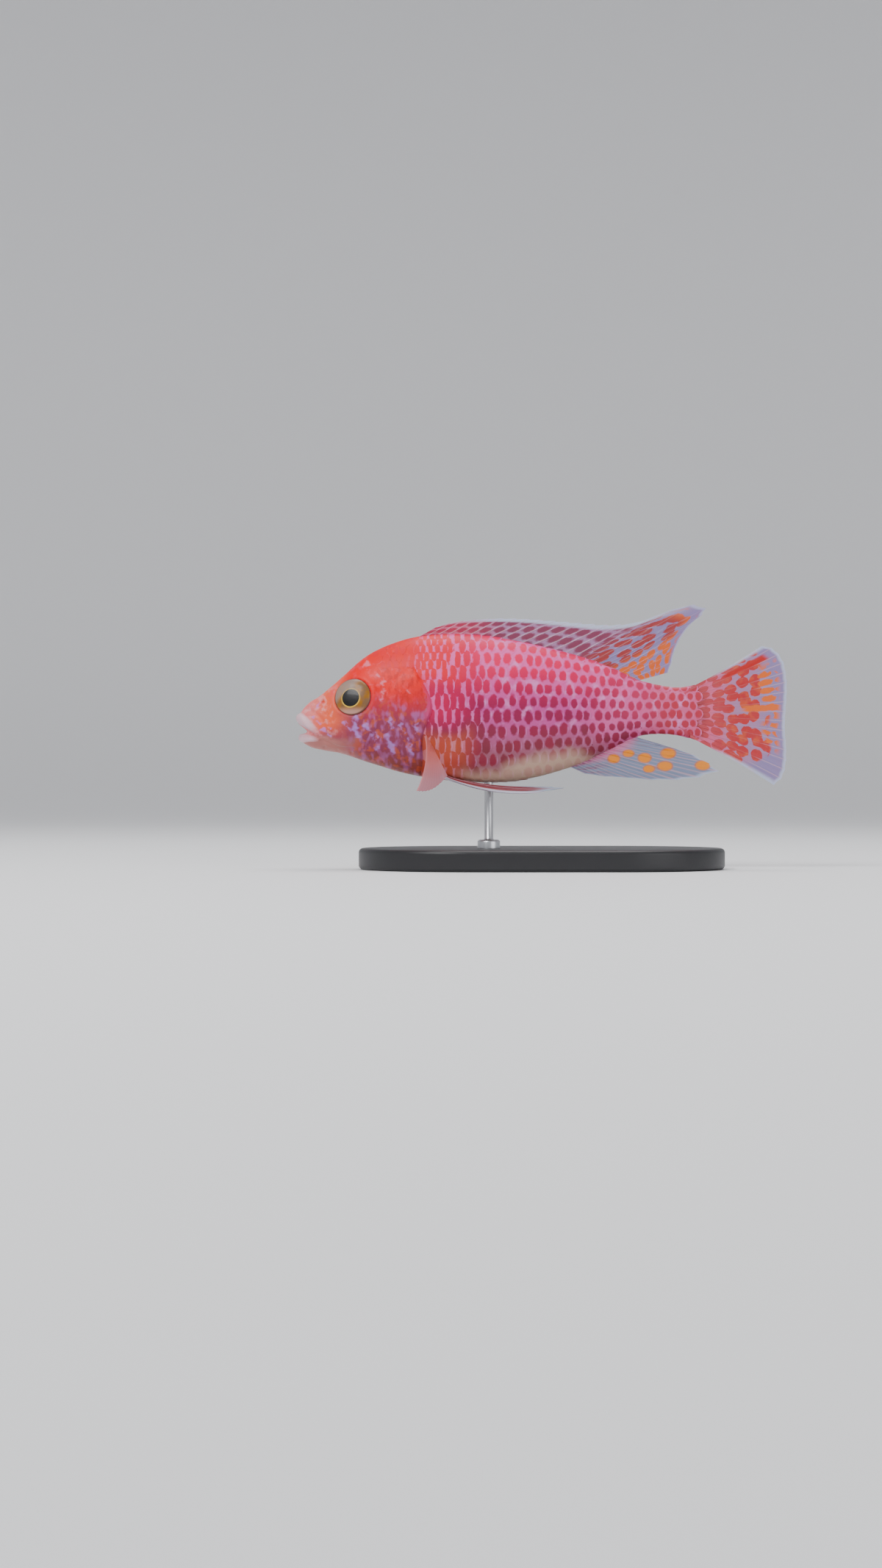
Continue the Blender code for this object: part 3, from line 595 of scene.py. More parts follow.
def eye_frame(side):
    """Middle of an eye and the three ways it is turned: back, up and out."""
    u, v = EYE_CENTRE
    surface = flank(u, v) + orbit_rise(u, v)
    centre = np.array([u, surface + EYE_STANDS_OUT - EYE_HALF_DEPTH, v])
    rear = np.array([math.cos(EYE_FORWARD), math.sin(EYE_FORWARD), 0])
    out = np.array([-math.sin(EYE_FORWARD) * math.cos(EYE_UPWARD),
                    math.cos(EYE_FORWARD) * math.cos(EYE_UPWARD), math.sin(EYE_UPWARD)])
    mirror = np.array([1, side, 1])
    return centre * mirror, rear * mirror, np.cross(rear, out) * mirror, out * mirror


def prism(name, outline, reach):
    """A side-view outline drawn out to both sides."""
    count = len(outline)
    places = [(u, side * reach, v) for side in (-1, 1) for u, v in outline]
    faces = [list(range(count)), list(range(2 * count - 1, count - 1, -1))]
    faces += [[i, (i + 1) % count, (i + 1) % count + count, i + count] for i in range(count)]
    return turn_outwards(new_object(name, places, faces))


def pit(u, v, centre, radius, depth):
    """Depth of a round pit with steep sides."""
    return depth * np.exp(-(np.hypot(u - centre[0], v - centre[1]) / radius) ** 4)


def head_relief(u, v, y):
    """How far the head's skin is raised at each place."""
    on_side = smoothstep(np.abs(y) / np.maximum(half_width(u), 1), 0.15, 0.45)
    rear, front = gill_margin(v), cover_front(np.clip(v, *COVER_LEVELS))
    share = np.clip((u - front) / (rear - front), 0, 1)
    rise = COVER_RISE * (COVER_FRONT_SHARE * smoothstep(u, front - 0.8, front + 0.4)
                         + (1 - COVER_FRONT_SHARE) * share)
    rise = rise * smoothstep(v, 12.5, 9.0) * smoothstep(v, -21.0, -17.5)
    rise = rise * (1 - smoothstep(u, rear - 0.35, rear + 0.25))
    groove = bump(u - rear - 0.45, GROOVE_WIDTH) * smoothstep(v, 14, 8)
    rise = rise - GROOVE_DEPTH * groove
    for line, depth, width in FOLDS:
        rise = rise - depth * bump(line_distance(u, v, line), width)
    for centre in PITS:
        rise = rise - pit(u, v, centre, PIT_RADIUS, PIT_DEPTH)
    rise = rise - pit(u, v, NOSTRIL, NOSTRIL_RADIUS, NOSTRIL_DEPTH)
    off = np.hypot(u - NOSTRIL[0], v - NOSTRIL[1]) / NOSTRIL_RADIUS
    rise = rise + NOSTRIL_RIM * bump(off - 1.7, 0.5)
    cheek = np.hypot((u - CHEEK_CENTRE[0]) / CHEEK_REACH[0],
                     (v - CHEEK_CENTRE[1]) / CHEEK_REACH[1])
    return on_side * (rise + CHEEK_RISE * bump(cheek, 1.0))


def body_shell():
    """The closed surface of the body with its mouth cut and its lips joined on."""
    stations = BODY_FRONT + (BODY_END - BODY_FRONT) * np.linspace(0, 1, SKIN_STATIONS) ** 1.15
    rings = []
    for u in stations:
        sunk = SCALE_DEPTH * smoothstep(u, *SCALES_START)
        y, v = section(u, turns(SKIN_SIDES), -sunk)
        rings.append(np.stack([np.full_like(v, u), y, v], axis=1))
    shell = tube("skin", rings)
    combine(shell, "DIFFERENCE", prism("mouth", MOUTH, MOUTH_CUT_REACH))
    combine(shell, "UNION", lip("upper_lip", UPPER_LIP), lip("lower_lip", LOWER_LIP))
    grain = shell.modifiers.new("grain", "REMESH")
    grain.mode = "VOXEL"
    grain.voxel_size = SKIN_GRAIN * MM
    even = shell.modifiers.new("even", "SMOOTH")
    even.factor, even.iterations = 0.5, SKIN_EVENING
    bpy.context.view_layer.update()
    apply_modifiers(shell)
    return shell


def eye_distance(places):
    """How far each place is from the middle of its side's eye, in the plane of the eye."""
    off = np.full(len(places), 2 * EYE_RADIUS)
    for _, side in SIDES:
        centre, rear, up, _ = eye_frame(side)
        offset = places - centre
        off = np.where(places[:, 1] * side > 0, np.hypot(offset @ rear, offset @ up), off)
    return off


def mouth_shade_marks(u, y, v, lips):
    """Painted shade: 1 inside the open mouth, whose inside is painted dark, and 0 outside it."""
    width = np.where(u < 1, 0.5, flank(np.clip(u, 1, OUTLINE_END), v))
    within = smoothstep(width - np.abs(y), 0.2, 0.9) * smoothstep(u, 5.8, 5.2)
    between = smoothstep(v, -2.8, -3.4) * smoothstep(v, -7.7, -7.1) * smoothstep(lips, 0.7, 0.1)
    return within * between * smoothstep(u, 0.3, 0.9)


def build_skin(finish):
    """The body's shell, shaped by the relief of the head and sunk behind the eyes."""
    skin = body_shell()
    places = to_fish(vertices(skin))
    normals = vertices(skin, "normal")
    u, y, v = places.T
    lips = lip_marks(places)
    rise = head_relief(u, v, y) * smoothstep(np.abs(normals[:, 1]), 0.1, 0.5) * (1 - lips)
    off = np.minimum(line_distance(u, v, MOUTH[1:4]), line_distance(u, v, MOUTH[4:7]))
    rise = np.where((u < 6) & (off < 0.4) & (lips < 0.5), 0, rise)
    eye_off = eye_distance(places)
    cup = 1 - smoothstep(eye_off, EYE_RADIUS - EYE_CUP_EDGE, EYE_RADIUS + 0.12)
    rise = rise * smoothstep(eye_off, EYE_RADIUS, EYE_RADIUS + 0.8) - EYE_CUP_DEPTH * cup
    skin.data.vertices.foreach_set("co", to_world(places + normals * rise[:, None]).ravel())
    skin.data.update()

    add_values(skin, "fleck", fleck_marks(u, v))
    add_values(skin, "lip", lips)
    # painted shade: the mouth values darken the inside of the open mouth
    add_values(skin, "mouth", mouth_shade_marks(u, y, v, lips))
    dress(skin, finish, "skin", "head", "jaw_lower", "gill_cover_left", "gill_cover_right",
          "trunk", "tail_stalk")


# Scales

class Flank:
    """The side of the body by (u, w), where w is the way round it from its middle line."""

    MIDLINE = 0.2
    STEP = 0.25
    FRONT, REAR = 12, BODY_END + 3
    BOTTOM, TOP = -36, 38
    ROUND = 400  # places from the back's middle line to the belly's

    def __init__(self):
        self.us = np.arange(self.FRONT, self.REAR + 0.01, self.STEP)
        self.ws = np.arange(self.BOTTOM, self.TOP + 0.01, self.STEP)
        turn = np.linspace(0, math.pi, self.ROUND)
        rows, ends = [], []
        for u in self.us:
            y, v = section(min(u, OUTLINE_END), turn)
            along = np.concatenate([[0], np.cumsum(np.hypot(np.diff(y), np.diff(v)))])
            w = (np.interp(-self.MIDLINE, -v, along) - along)[::-1]
            rows.append(np.stack([np.interp(self.ws, w, y[::-1]),
                                  np.interp(self.ws, w, v[::-1])], axis=1))
            ends.append((w[0], w[-1]))
        self.table, self.ends = np.array(rows), np.array(ends).T

    def places(self, u, w):
        i = np.clip((u - self.us[0]) / self.STEP, 0, len(self.us) - 1.001)
        j = np.clip((w - self.ws[0]) / self.STEP, 0, len(self.ws) - 1.001)
        i0, j0 = i.astype(int), j.astype(int)
        fi, fj = (i - i0)[..., None], (j - j0)[..., None]
        near, far = (self.table[k, j0] * (1 - fj) + self.table[k, j0 + 1] * fj
                     for k in (i0, i0 + 1))
        yv = near * (1 - fi) + far * fi
        return np.stack([u, yv[..., 0], yv[..., 1]], axis=-1)

    def level(self, u, w):
        """v at one place."""
        return float(self.places(np.array(u), np.array(w))[2])

    def limits(self, u):
        """w at the belly's and at the back's middle line."""
        return [np.interp(u, self.us, end) for end in self.ends]

    def within(self, u, w, spare):
        """w, kept between the belly's and the back's middle lines."""
        low, high = self.limits(u)
        return np.clip(w, low + spare, high - spare)

    def normals(self, u, w, step=0.3):
        w = self.within(u, w, 2 * step)
        along = self.places(u + step, w) - self.places(u - step, w)
        upwards = self.places(u, w + step) - self.places(u, w - step)
        normal = np.cross(upwards, along)
        return normal / np.linalg.norm(normal, axis=-1, keepdims=True)


side_of_body = Flank()

ROW_PITCH = smooth_curve([(20, 3.0), (34, 3.7), (46, 4.2), (62, 4.2), (81, 3.55), (102, 2.8),
                          (114, 2.6)])
COLUMN_PITCH = smooth_curve([(20, 1.9), (36, 2.15), (44, 2.5), (54, 2.86), (83, 2.7),
                             (102, 2.6), (114, 2.5)])
SCALE_LENGTH, SCALE_HEIGHT = 1.75, 1.32  # of the pitch
HEAD_SCALE, SHOULDER_SCALE = (1.5, 1.7), (1.95, 2.6)
# Where the shoulder's small scales end, as (v, u)
SHOULDER_END = smooth_curve([(7.0, 35.0), (10.5, 41.5), (14.0, 45.0), (24.0, 44.0)])
SCALES_FRONT, SCALES_REAR = 18.0, 115.5  # between which the rows run
SCALE_GRID = 8
SCALE_RISE = 0.22  # of a scale's rear edge over the skin
SCALE_SWELL = 0.05  # of a scale's middle line over its sides
SCALE_THICKNESS = 0.06
SCALE_SINK = 0.06  # of a scale's front end, under the skin
SCALE_STRAY = 0.09  # how far a scale's root may lie off its place in the rows, of the pitch
SCALE_SLANT = 0.06  # range of the slopes to which scales are turned
PATCH_SHARE = 0.42  # of the room round its root that a scale's OFBake patch takes


def lattice():
    """Roots of the trunk's scales on one side, in rows that widen with the body."""
    u, column = SCALES_FRONT, 0
    while u < SCALES_REAR:
        pitch, rise = float(COLUMN_PITCH(u)), float(ROW_PITCH(u))
        for row in range(-11, 11):
            if (row + column) % 2 == 0:
                yield u, (row + 0.5) * rise, pitch, rise, False
        u += pitch / 2
        column += 1


def shoulder_lattice():
    """Roots of the shoulder's and nape's smaller scales on one side."""
    pitch, rise = SHOULDER_SCALE
    for row in range(0, 14):
        for column in range(0, 16):
            u = SCALES_FRONT + (column + 0.5 * (row % 2)) * pitch
            yield u, row * rise, pitch, rise, True


def body_scales():
    """Scales of the trunk, tail stalk, shoulder and nape."""
    kept = []
    for u, w, pitch, rise, small in [*lattice(), *shoulder_lattice()]:
        low, high = side_of_body.limits(u)
        if not low + rise * 0.1 < w < high - rise * 0.1:
            continue
        v = side_of_body.level(u, w)
        front = gill_margin(v) + 0.3 * pitch if v < 10.5 else 21 + 0.9 * max(0, 16 - v)
        past_shoulder = u - SHOULDER_END(v)
        if u >= front and (past_shoulder < -0.5 * pitch if small else past_shoulder >= 0):
            kept.append((u, w, pitch, rise, 1.0))
    return kept


def head_scales():
    """Small scales of the cheek and the gill cover."""
    kept = []
    step_u, step_w = HEAD_SCALE
    for row in range(-16, 10):
        for column in range(0, 16):
            u = 17.0 + (column + 0.5 * (row % 2)) * step_u
            v = side_of_body.level(u, row * step_w)
            cover_start = cover_front(np.clip(v, *COVER_LEVELS)) + 0.8
            on_cover = cover_start < u < gill_margin(v) - 1.3 and -15.5 < v < 9.5
            on_cheek = 17.5 < u < 22.8 - 0.25 * abs(v + 4) and -9.0 < v < -3.4
            if on_cover or on_cheek:
                kept.append((u, row * step_w, step_u, step_w, 0.0))
    return kept


def scale_lift(place, across, upright, roots_u, spotted):
    """How far each place of each scale lies outside the body, and each scale's relief."""
    trunk = 0.25 + 0.75 * smoothstep(roots_u, 26, 52) - 0.6 * smoothstep(roots_u, 102, 113)
    relief = np.where(spotted > 0.5, trunk, 0.2)[:, None]
    full = SCALE_RISE * (across + 1) / 2 + SCALE_SWELL * (1 - upright**2) - SCALE_SINK
    u, y, v = place[..., 0], place[..., 1], place[..., 2]
    margin = gill_margin(v)
    behind_cover = np.where(v < 12, np.maximum(u, margin + 0.5), u)
    relief_u = np.where(spotted[:, None] > 0.5, behind_cover, np.minimum(u, margin - 0.6))
    lift = full * relief - SCALE_DEPTH * smoothstep(u, *SCALES_START)
    return lift + head_relief(relief_u, v, y), relief


def scale_patches(unit, roots_u, roots_w, pitch, rise):
    """Each scale's patch in the OFBake map, with its inner face as a strip at one end."""
    low, high = side_of_body.limits(roots_u)
    reach = Flank.REAR - Flank.FRONT
    spots = np.stack([(roots_u - Flank.FRONT) / reach,
                      np.clip((roots_w - low) / (high - low), 0, 1)], axis=1)
    size = PATCH_SHARE * np.stack([pitch / reach, rise / (high - low)], axis=1)
    patch = np.concatenate([(unit - [0.58, 0.5]) * [0.84, 1.0],
                            (unit - 0.5) * [0.1, 1.0] + [0.42, 0]])
    return np.clip((0.02 + 0.96 * spots)[:, None] + patch[None] * size[:, None], 0, 1)


def build_scales(name, side, finish):
    """All the scales of one side, each a thin closed shell."""
    grid = np.linspace(-1, 1, SCALE_GRID)
    a, b = (part.ravel() for part in np.meshgrid(grid, grid, indexing="ij"))
    across, upright = a * np.sqrt(1 - 0.5 * b * b), b * np.sqrt(1 - 0.42 * a * a)
    roots_u, roots_w, pitch, rise, spotted = np.array(body_scales() + head_scales()).T
    number, size = len(pitch), 2 * SCALE_GRID**2
    chance = rng.random(number)
    stray = rng.normal(0, SCALE_STRAY, (2, number))
    roots_u, roots_w = roots_u + stray[0] * pitch, roots_w + stray[1] * rise * 0.6
    length, height = pitch * SCALE_LENGTH / 2, rise * SCALE_HEIGHT / 2
    u = (roots_u + pitch * 0.5 - length)[:, None] + across * length[:, None]
    slant = SCALE_SLANT * (chance - 0.5)[:, None]
    w = roots_w[:, None] + upright * height[:, None] + slant * across * length[:, None]
    w = side_of_body.within(u, w, 0.02)
    place, normal = side_of_body.places(u, w), side_of_body.normals(u, w)
    lift, relief = scale_lift(place, across, upright, roots_u, spotted)
    outer = place + normal * lift[..., None]
    inner = outer - normal * (SCALE_THICKNESS * (0.5 + 0.5 * relief))[..., None]
    places = np.concatenate([outer, inner], axis=1) * [1, side, 1]
    one = np.array(sheet_faces(SCALE_GRID, SCALE_GRID))[:, ::side]
    faces = (one[None] + (np.arange(number) * size)[:, None, None]).reshape(-1, 3)
    made = new_object(name, places.reshape(-1, 3), faces.tolist())

    unit = np.stack([(across + 1) / 2, (upright + 1) / 2], axis=1)
    add_map(made, "Scale", np.tile(unit, (2 * number, 1)))
    add_map(made, "OFBake", scale_patches(unit, roots_u, roots_w, pitch, rise).reshape(-1, 2))
    add_values(made, "chance", np.repeat(chance, size))
    add_values(made, "spotted", np.repeat(spotted, size))
    add_values(made, "fleck", fleck_marks(places[..., 0].ravel(), places[..., 2].ravel()))
    dress(made, finish, "skin")


# Fins

def fin_sheet(name, roots, tips, bows, notches, flare, faces_to=ACROSS, sweep=0.0, lappets=0,
              relief=1.0):
    """A fin as one thin closed sheet with its rays as ridges.

    lappets is how many of the first rays end in a free point with a stepped edge, and relief
    is how high the ridges stand, as a share of the usual height.
    """
    rays = np.concatenate([roots, tips, bows], axis=1)
    columns = (len(rays) - 1) * WEB_STEPS + 1
    at = np.arange(columns) / WEB_STEPS
    first = np.minimum(at.astype(int), len(rays) - 2)
    part = at - first
    between = rays[first] * (1 - part)[:, None] + rays[first + 1] * part[:, None]
    root, tip, bow = between[:, None, :3], between[:, None, 3:6], between[:, None, 6:]
    share = np.linspace(0, 1, FIN_ROWS)[None, :, None]
    stepped = first < lappets
    step = smoothstep(part, 0.0, 0.2) * (1 - part) ** 0.7 * 1.2
    dip = np.where(stepped, step, np.sin(math.pi * part))
    fall = (np.asarray(notches)[first] * dip)[:, None, None]
    reach = share * (1 - fall * share**2)
    middle = root + (tip - root) * reach + bow * 4 * reach * (1 - reach)
    middle = middle + faces_to * sweep * share**2

    share = share[..., 0]
    off = np.minimum(part, 1 - part)[:, None]
    fork = np.where(stepped[:, None], 0, RAY_BRANCH * smoothstep(share, 0.3, 0.95))
    ridge = bump(off - fork, RAY_WIDTH)
    thin = share**3
    half = WEB_HALF + (TIP_HALF - WEB_HALF) * thin
    half = half + (RAY_HALF - WEB_HALF) * relief * ridge * (1 - 0.75 * thin)
    half = half + flare * np.maximum(0, 1 - share / 0.2) ** 2
    normal = np.cross(np.gradient(middle, axis=0), np.gradient(middle, axis=1))
    normal /= np.maximum(np.linalg.norm(normal, axis=2, keepdims=True), 1e-9)
    normal *= np.sign(normal @ faces_to)[:, :, None]
    sides = np.concatenate([middle + normal * half[..., None], middle - normal * half[..., None]])
    made = new_object(name, sides.reshape(-1, 3), sheet_faces(columns, FIN_ROWS))
    turn_outwards(made)
    if len(made.data.vertices) != 2 * columns * FIN_ROWS:
        raise ValueError(f"{name} has places that lie on one another")
    flat = np.stack(np.broadcast_arrays(at[:, None], share), axis=-1)
    add_map(made, "Fin", np.concatenate([flat, flat]).reshape(-1, 2))
    return made


def side_view(points):
    return np.array([(u, 0.0, v) for u, v in points], float)


def build_dorsal(finish):
    edge = smooth_curve(DORSAL_EDGE)
    bases = np.concatenate([np.linspace(*SPINE_BASES, SPINES),
                            np.linspace(*SOFT_BASES, len(SOFT_TIPS))])
    roots = side_view([(u, back(u) - MIDDLE_INSET) for u in bases])
    tips = side_view([(u, edge(u)) for u in np.linspace(*SPINE_TIPS, SPINES)] + SOFT_TIPS)
    notches = [SPINE_NOTCH] * SPINES + [SOFT_NOTCH] * len(SOFT_TIPS)
    made = fin_sheet("dorsal", roots, tips, 0 * roots, notches, MIDDLE_FLARE,
                     lappets=SPINES - 1)
    dress(made, finish, "fins", "dorsal_fin")


def build_anal(finish):
    roots = side_view([(base, belly(base) + MIDDLE_INSET) for base, _, _ in ANAL_RAYS])
    tips = side_view([(u, v) for _, u, v in ANAL_RAYS])
    made = fin_sheet("anal", roots, tips, 0 * roots, [ANAL_NOTCH] * len(roots), MIDDLE_FLARE,
                     lappets=2)
    u, _, v = to_fish(vertices(made)).T
    add_values(made, "egg", egg_marks(u, v))
    dress(made, finish, "fins", "anal_fin")


# Egg spots of the anal fin: middle (u, v), then half length and half height
EGG_SPOTS = [((90.5, -13.6), (1.7, 1.25)), ((94.7, -12.1), (1.6, 1.05)),
             ((99.3, -13.4), (1.9, 1.35)), ((100.5, -16.5), (1.6, 1.05)),
             ((105.1, -15.7), (2.1, 1.35)), ((106.0, -12.1), (2.1, 1.45)),
             ((115.8, -15.5), (2.1, 1.35))]


def egg_marks(u, v):
    """1 in the middle of an egg spot, falling to 0.5 at its edge and 0 beyond."""
    marks = np.zeros_like(u)
    for (eu, ev), (long, tall) in EGG_SPOTS:
        off = np.hypot((u - eu) / long, (v - ev) / tall)
        marks = np.maximum(marks, np.clip(1 - off / 2, 0, 1))
    return marks


def build_caudal(finish):
    heights = np.linspace(*CAUDAL_ROOT, CAUDAL_RAYS)
    roots = side_view([(BODY_END - CAUDAL_INSET, v * CAUDAL_ROOT_SHARE) for v in heights])
    tips = side_view(spread_along(CAUDAL_EDGE, CAUDAL_RAYS))
    spread = np.linspace(1, -1, CAUDAL_RAYS)
    bows = -CAUDAL_BOW * (spread * np.abs(spread))[:, None] * UP
    made = fin_sheet("caudal", roots, tips, bows, [CAUDAL_NOTCH] * CAUDAL_RAYS, CAUDAL_FLARE,
                     sweep=TAIL_SWEEP)
    dress(made, finish, "fins", "caudal_fin")


def paired(kind, name, side, rays, finish, relief, notch):
    """A pectoral or pelvic fin from the root, tip and bow of each ray on the left side."""
    mirror = [1, -side, 1]
    roots, tips, bows = (np.array(places) * mirror for places in zip(*rays))
    middle = (tips[0] + tips[-1]) / 2 - (roots[0] + roots[-1]) / 2
    normal = np.cross(middle, tips[-1] - tips[0])
    made = fin_sheet(f"{kind}_{name}", roots, tips, bows, [notch] * len(roots), PAIRED_FLARE,
                     normal / np.linalg.norm(normal), relief=relief)
    dress(made, finish, "fins", f"{kind}_fin_{name}")


def build_pectoral(name, side, finish):
    first, last = (np.concatenate(ray) for ray in (PECTORAL_FIRST, PECTORAL_LAST))
    rays = []
    for share in np.linspace(0, 1, PECTORAL_RAYS):
        u, v, tip_u, out, tip_v = first * (1 - share) + last * share
        rounding = PECTORAL_ROUNDING * math.sin(math.pi * share)
        rays.append([(u, -flank(u, v) + PAIRED_INSET, v),
                     (tip_u, -out - rounding, tip_v - rounding),
                     (PECTORAL_BOW * (1 - share), -PECTORAL_BOW, 0)])
    paired("pectoral", name, side, rays, finish, PECTORAL_RELIEF, PECTORAL_NOTCH)


def build_pelvic(name, side, finish):
    rays = []
    for i, ((root_u, root_out), (tip_u, out, tip_v)) in enumerate(PELVIC_RAYS):
        rays.append([(root_u, -root_out, belly(root_u) + PAIRED_INSET), (tip_u, -out, tip_v),
                     (0, 0, -PELVIC_BOW * (1 - i / len(PELVIC_RAYS)))])
    paired("pelvic", name, side, rays, finish, PELVIC_RELIEF, PELVIC_NOTCH)


# Eyes

def build_eye(name, side, finish):
    """An eyeball, painted by how far each place is from the pupil."""
    centre, rear, up, out = eye_frame(side)
    turn = turns(ROUND_SIDES)[:, None]
    spokes = EYE_RADIUS * (np.cos(turn) * rear + np.sin(turn) * up)
    levels = np.sin(np.linspace(*EYE_SHOWN, EYE_RINGS) * math.pi / 2)
    ball = tube(f"eyeball_{name}", [centre + out * level * EYE_HALF_DEPTH
                                    + spokes * math.sqrt(1 - level**2) for level in levels])
    offset = to_fish(vertices(ball)) - centre
    fore, rise = offset @ rear - PUPIL[0], offset @ up - PUPIL[1]
    add_values(ball, "reach", np.hypot(fore, rise))
    add_values(ball, "rim", np.hypot(offset @ rear, offset @ up))
    add_values(ball, "fore", fore)
    add_values(ball, "rise", rise)
    dress(ball, finish, "eye", f"eye_{name}")


# Stand

def turned(u, profile):
    """Rings round an upright line at u, from (radius, height)."""
    return [[(u + r * math.cos(a), r * math.sin(a), v) for a in turns(ROUND_SIDES)]
            for r, v in profile]


def base_ring(inset, v):
    """The base's outline, two half circles joined by straight sides, moved in by inset."""
    radius = BASE_WIDTH / 2
    middle = BASE_LENGTH / 2 - radius
    ring = []
    for end, first in ((1, 0), (-1, math.pi)):
        for a in np.linspace(first, first + math.pi, ROUND_SIDES // 2):
            ring.append((TOTAL_LENGTH / 2 + end * middle + (radius - inset) * math.sin(a),
                         (radius - inset) * math.cos(a), v))
    return ring


def build_stand(black, steel):
    bottom, floor = -AXIS_HEIGHT, BASE_HEIGHT - AXIS_HEIGHT
    edge = [(BASE_EDGE * (1 - math.sin(a)), BASE_EDGE * (1 - math.cos(a)))
            for a in np.linspace(0, math.pi / 2, BASE_EDGE_RINGS)]
    rings = [base_ring(inset, bottom + height) for inset, height in edge]
    rings += [base_ring(inset, floor - height) for inset, height in edge[::-1]]
    dress(tube("stand_plate", rings), black, "stand", "stand_base")
    shoulder = floor + COLLAR_HEIGHT
    top = float(belly(ROD_U)) + ROD_INSET
    profile = [(COLLAR_RADIUS, floor - 0.1), (COLLAR_RADIUS, shoulder - COLLAR_CHAMFER),
               (COLLAR_RADIUS - 0.15, shoulder - 0.25), (COLLAR_RADIUS - COLLAR_CHAMFER, shoulder),
               (ROD_RADIUS + 0.3, shoulder), (ROD_RADIUS, shoulder + 0.3), (ROD_RADIUS, top)]
    dress(tube("stand_post", turned(ROD_U, profile)), steel, "rod", "stand_rod")


# Colours, each as red, green and blue out of 255

NAPE, NAPE_PALE, NAPE_DEEP = tint(230, 50, 46), tint(236, 104, 116), tint(178, 22, 38)
SHOULDER_TOP, SHOULDER, BREAST = tint(226, 50, 78), tint(184, 48, 88), tint(186, 98, 82)
SPOT_TOP, SPOT_MID, SPOT_LOW = tint(224, 76, 106), tint(136, 50, 80), tint(124, 60, 70)
SPOT_REAR, SPOT_STALK = tint(190, 82, 106), tint(180, 80, 86)
RIM_TOP, RIM_MID, RIM_LOW = tint(248, 128, 178), tint(196, 102, 154), tint(158, 106, 120)
RIM_REAR, RIM_STALK = tint(224, 126, 168), tint(208, 116, 144)
RIM_SHOULDER, RIM_BREAST = tint(242, 124, 172), tint(208, 136, 140)
# the pale pink-lilac rim colour is a painted sheen, standing in for the rims' shimmer
RIM_SHEEN, CREAM = tint(240, 172, 218), tint(216, 188, 174)
FACE, CHEEK, SNOUT = tint(232, 120, 102), tint(134, 68, 86), tint(226, 142, 144)
SNOUT_PALE, LILAC_PALE = tint(240, 182, 186), tint(190, 150, 216)
# the jaw colour is the lower jaw's own pinkish grey, darkened a little as painted shade
JAW_SHADED, THROAT = tint(182, 128, 124), tint(140, 78, 76)
LILAC, PINK_PALE, LIP_PALE = tint(184, 130, 186), tint(240, 150, 166), tint(216, 196, 204)
# painted shade for the inside of the open mouth
MOUTH_SHADE = tint(92, 44, 46)
DAMP = {"Coat_Weight": 0.05, "Coat_Roughness": 0.25, "Specular_IOR_Level": 0.25}


def head_colour(p, u, v):
    """The head's markings: an orange-red crown, a paler snout and a plum cheek."""
    wander = p.noise(6.0) - 0.5
    level, along = v + wander * 7, u + wander * 6
    bleached = p.noise(2.0).ramp(0.48, 0.66) * u.ramp(15, 8) * level.ramp(10, 6)
    pale = p.noise(1.5, 3.0).ramp(0.48, 0.7) * v.ramp(0, 6) * u.ramp(37, 27)
    blots = p.noise(1.3, 3.0, p.join(u, v * 0.5)).ramp(0.46, 0.62)
    brown = p.noise(2.3, 3.0).ramp(0.5, 0.6) * level.ramp(6, -4) * along.ramp(13, 19)
    upright = p.noise(1.0, 1.5, p.join(u * 0.6, v * 0.34)).ramp(0.46, 0.68)
    fleck = p.values("fleck").ramp(0.0, 1.0) * p.noise(1.7, 3.0).ramp(0.38, 0.60)
    return p.layers(
        p.mix(level.ramp(-4, 7), CHEEK, NAPE),
        (along.ramp(17, 10) * level.ramp(-9, -3), FACE),
        (along.ramp(9, 4) * 0.9, SNOUT),
        (bleached * 0.6, SNOUT_PALE),
        # lower jaw: its own colour, darkened by painted shade
        (level.ramp(-6.5, -9.0) * along.ramp(20, 12), JAW_SHADED),
        (level.ramp(-11, -15) * along.ramp(14, 20), THROAT),
        (pale * 0.55, NAPE_PALE),
        (blots * u.ramp(19, 27) * v.ramp(-2, 4) * 0.55, NAPE_DEEP),
        (brown * 0.75, BREAST),
        (upright * level.ramp(5, -1) * along.ramp(14, 19) * 0.45, LILAC),
        (fleck * 0.68, p.mix(v.ramp(1, 4), LILAC_PALE, PINK_PALE)))


def body_colours(p, u, v):
    """The colours of the scales' spots and rims by place, and how far along the place is."""
    wander = p.noise(9.0) - 0.5
    level, along = v + wander * 7, u + wander * 10
    shoulder, nape = along.ramp(54, 42), along.ramp(38, 31) * level.ramp(2, 9)
    cream_top = u.ramp(50, 74) * 4.6 - u.ramp(80, 90) * 3.0 - 16.6
    cream = (level - cream_top).ramp(2.2, -2.2) * along.ramp(42, 52)
    spot = p.layers(
        p.mix(level.ramp(0, 15), SPOT_MID, SPOT_TOP),
        (level.ramp(0, -12), SPOT_LOW),
        (u.ramp(76, 100) * level.ramp(-8, 0) * 0.8, SPOT_REAR),
        (u.ramp(98, 108) * 0.8, SPOT_STALK),
        (shoulder * level.ramp(-6, 0), SHOULDER),
        (shoulder * level.ramp(-4, -10), BREAST),
        (shoulder * level.ramp(4, 11), SHOULDER_TOP),
        (nape, NAPE),
        (cream * 0.93, CREAM))
    rim = p.layers(
        p.mix(level.ramp(0, 16), RIM_MID, RIM_TOP),
        (level.ramp(-2, -13), RIM_LOW),
        (u.ramp(76, 92) * level.ramp(-12, -3) * 0.8, RIM_REAR),
        (u.ramp(94, 104) * 0.8, RIM_STALK),
        # painted sheen: pale patches by noise over the rims
        (p.noise(3.4).ramp(0.5, 0.72) * level.ramp(-14, -2) * 0.6, RIM_SHEEN),
        (shoulder * 0.8, RIM_SHOULDER),
        (shoulder * level.ramp(-3, -9), RIM_BREAST),
        (nape * 0.6, NAPE_PALE),
        (cream, CREAM))
    return spot, rim, along


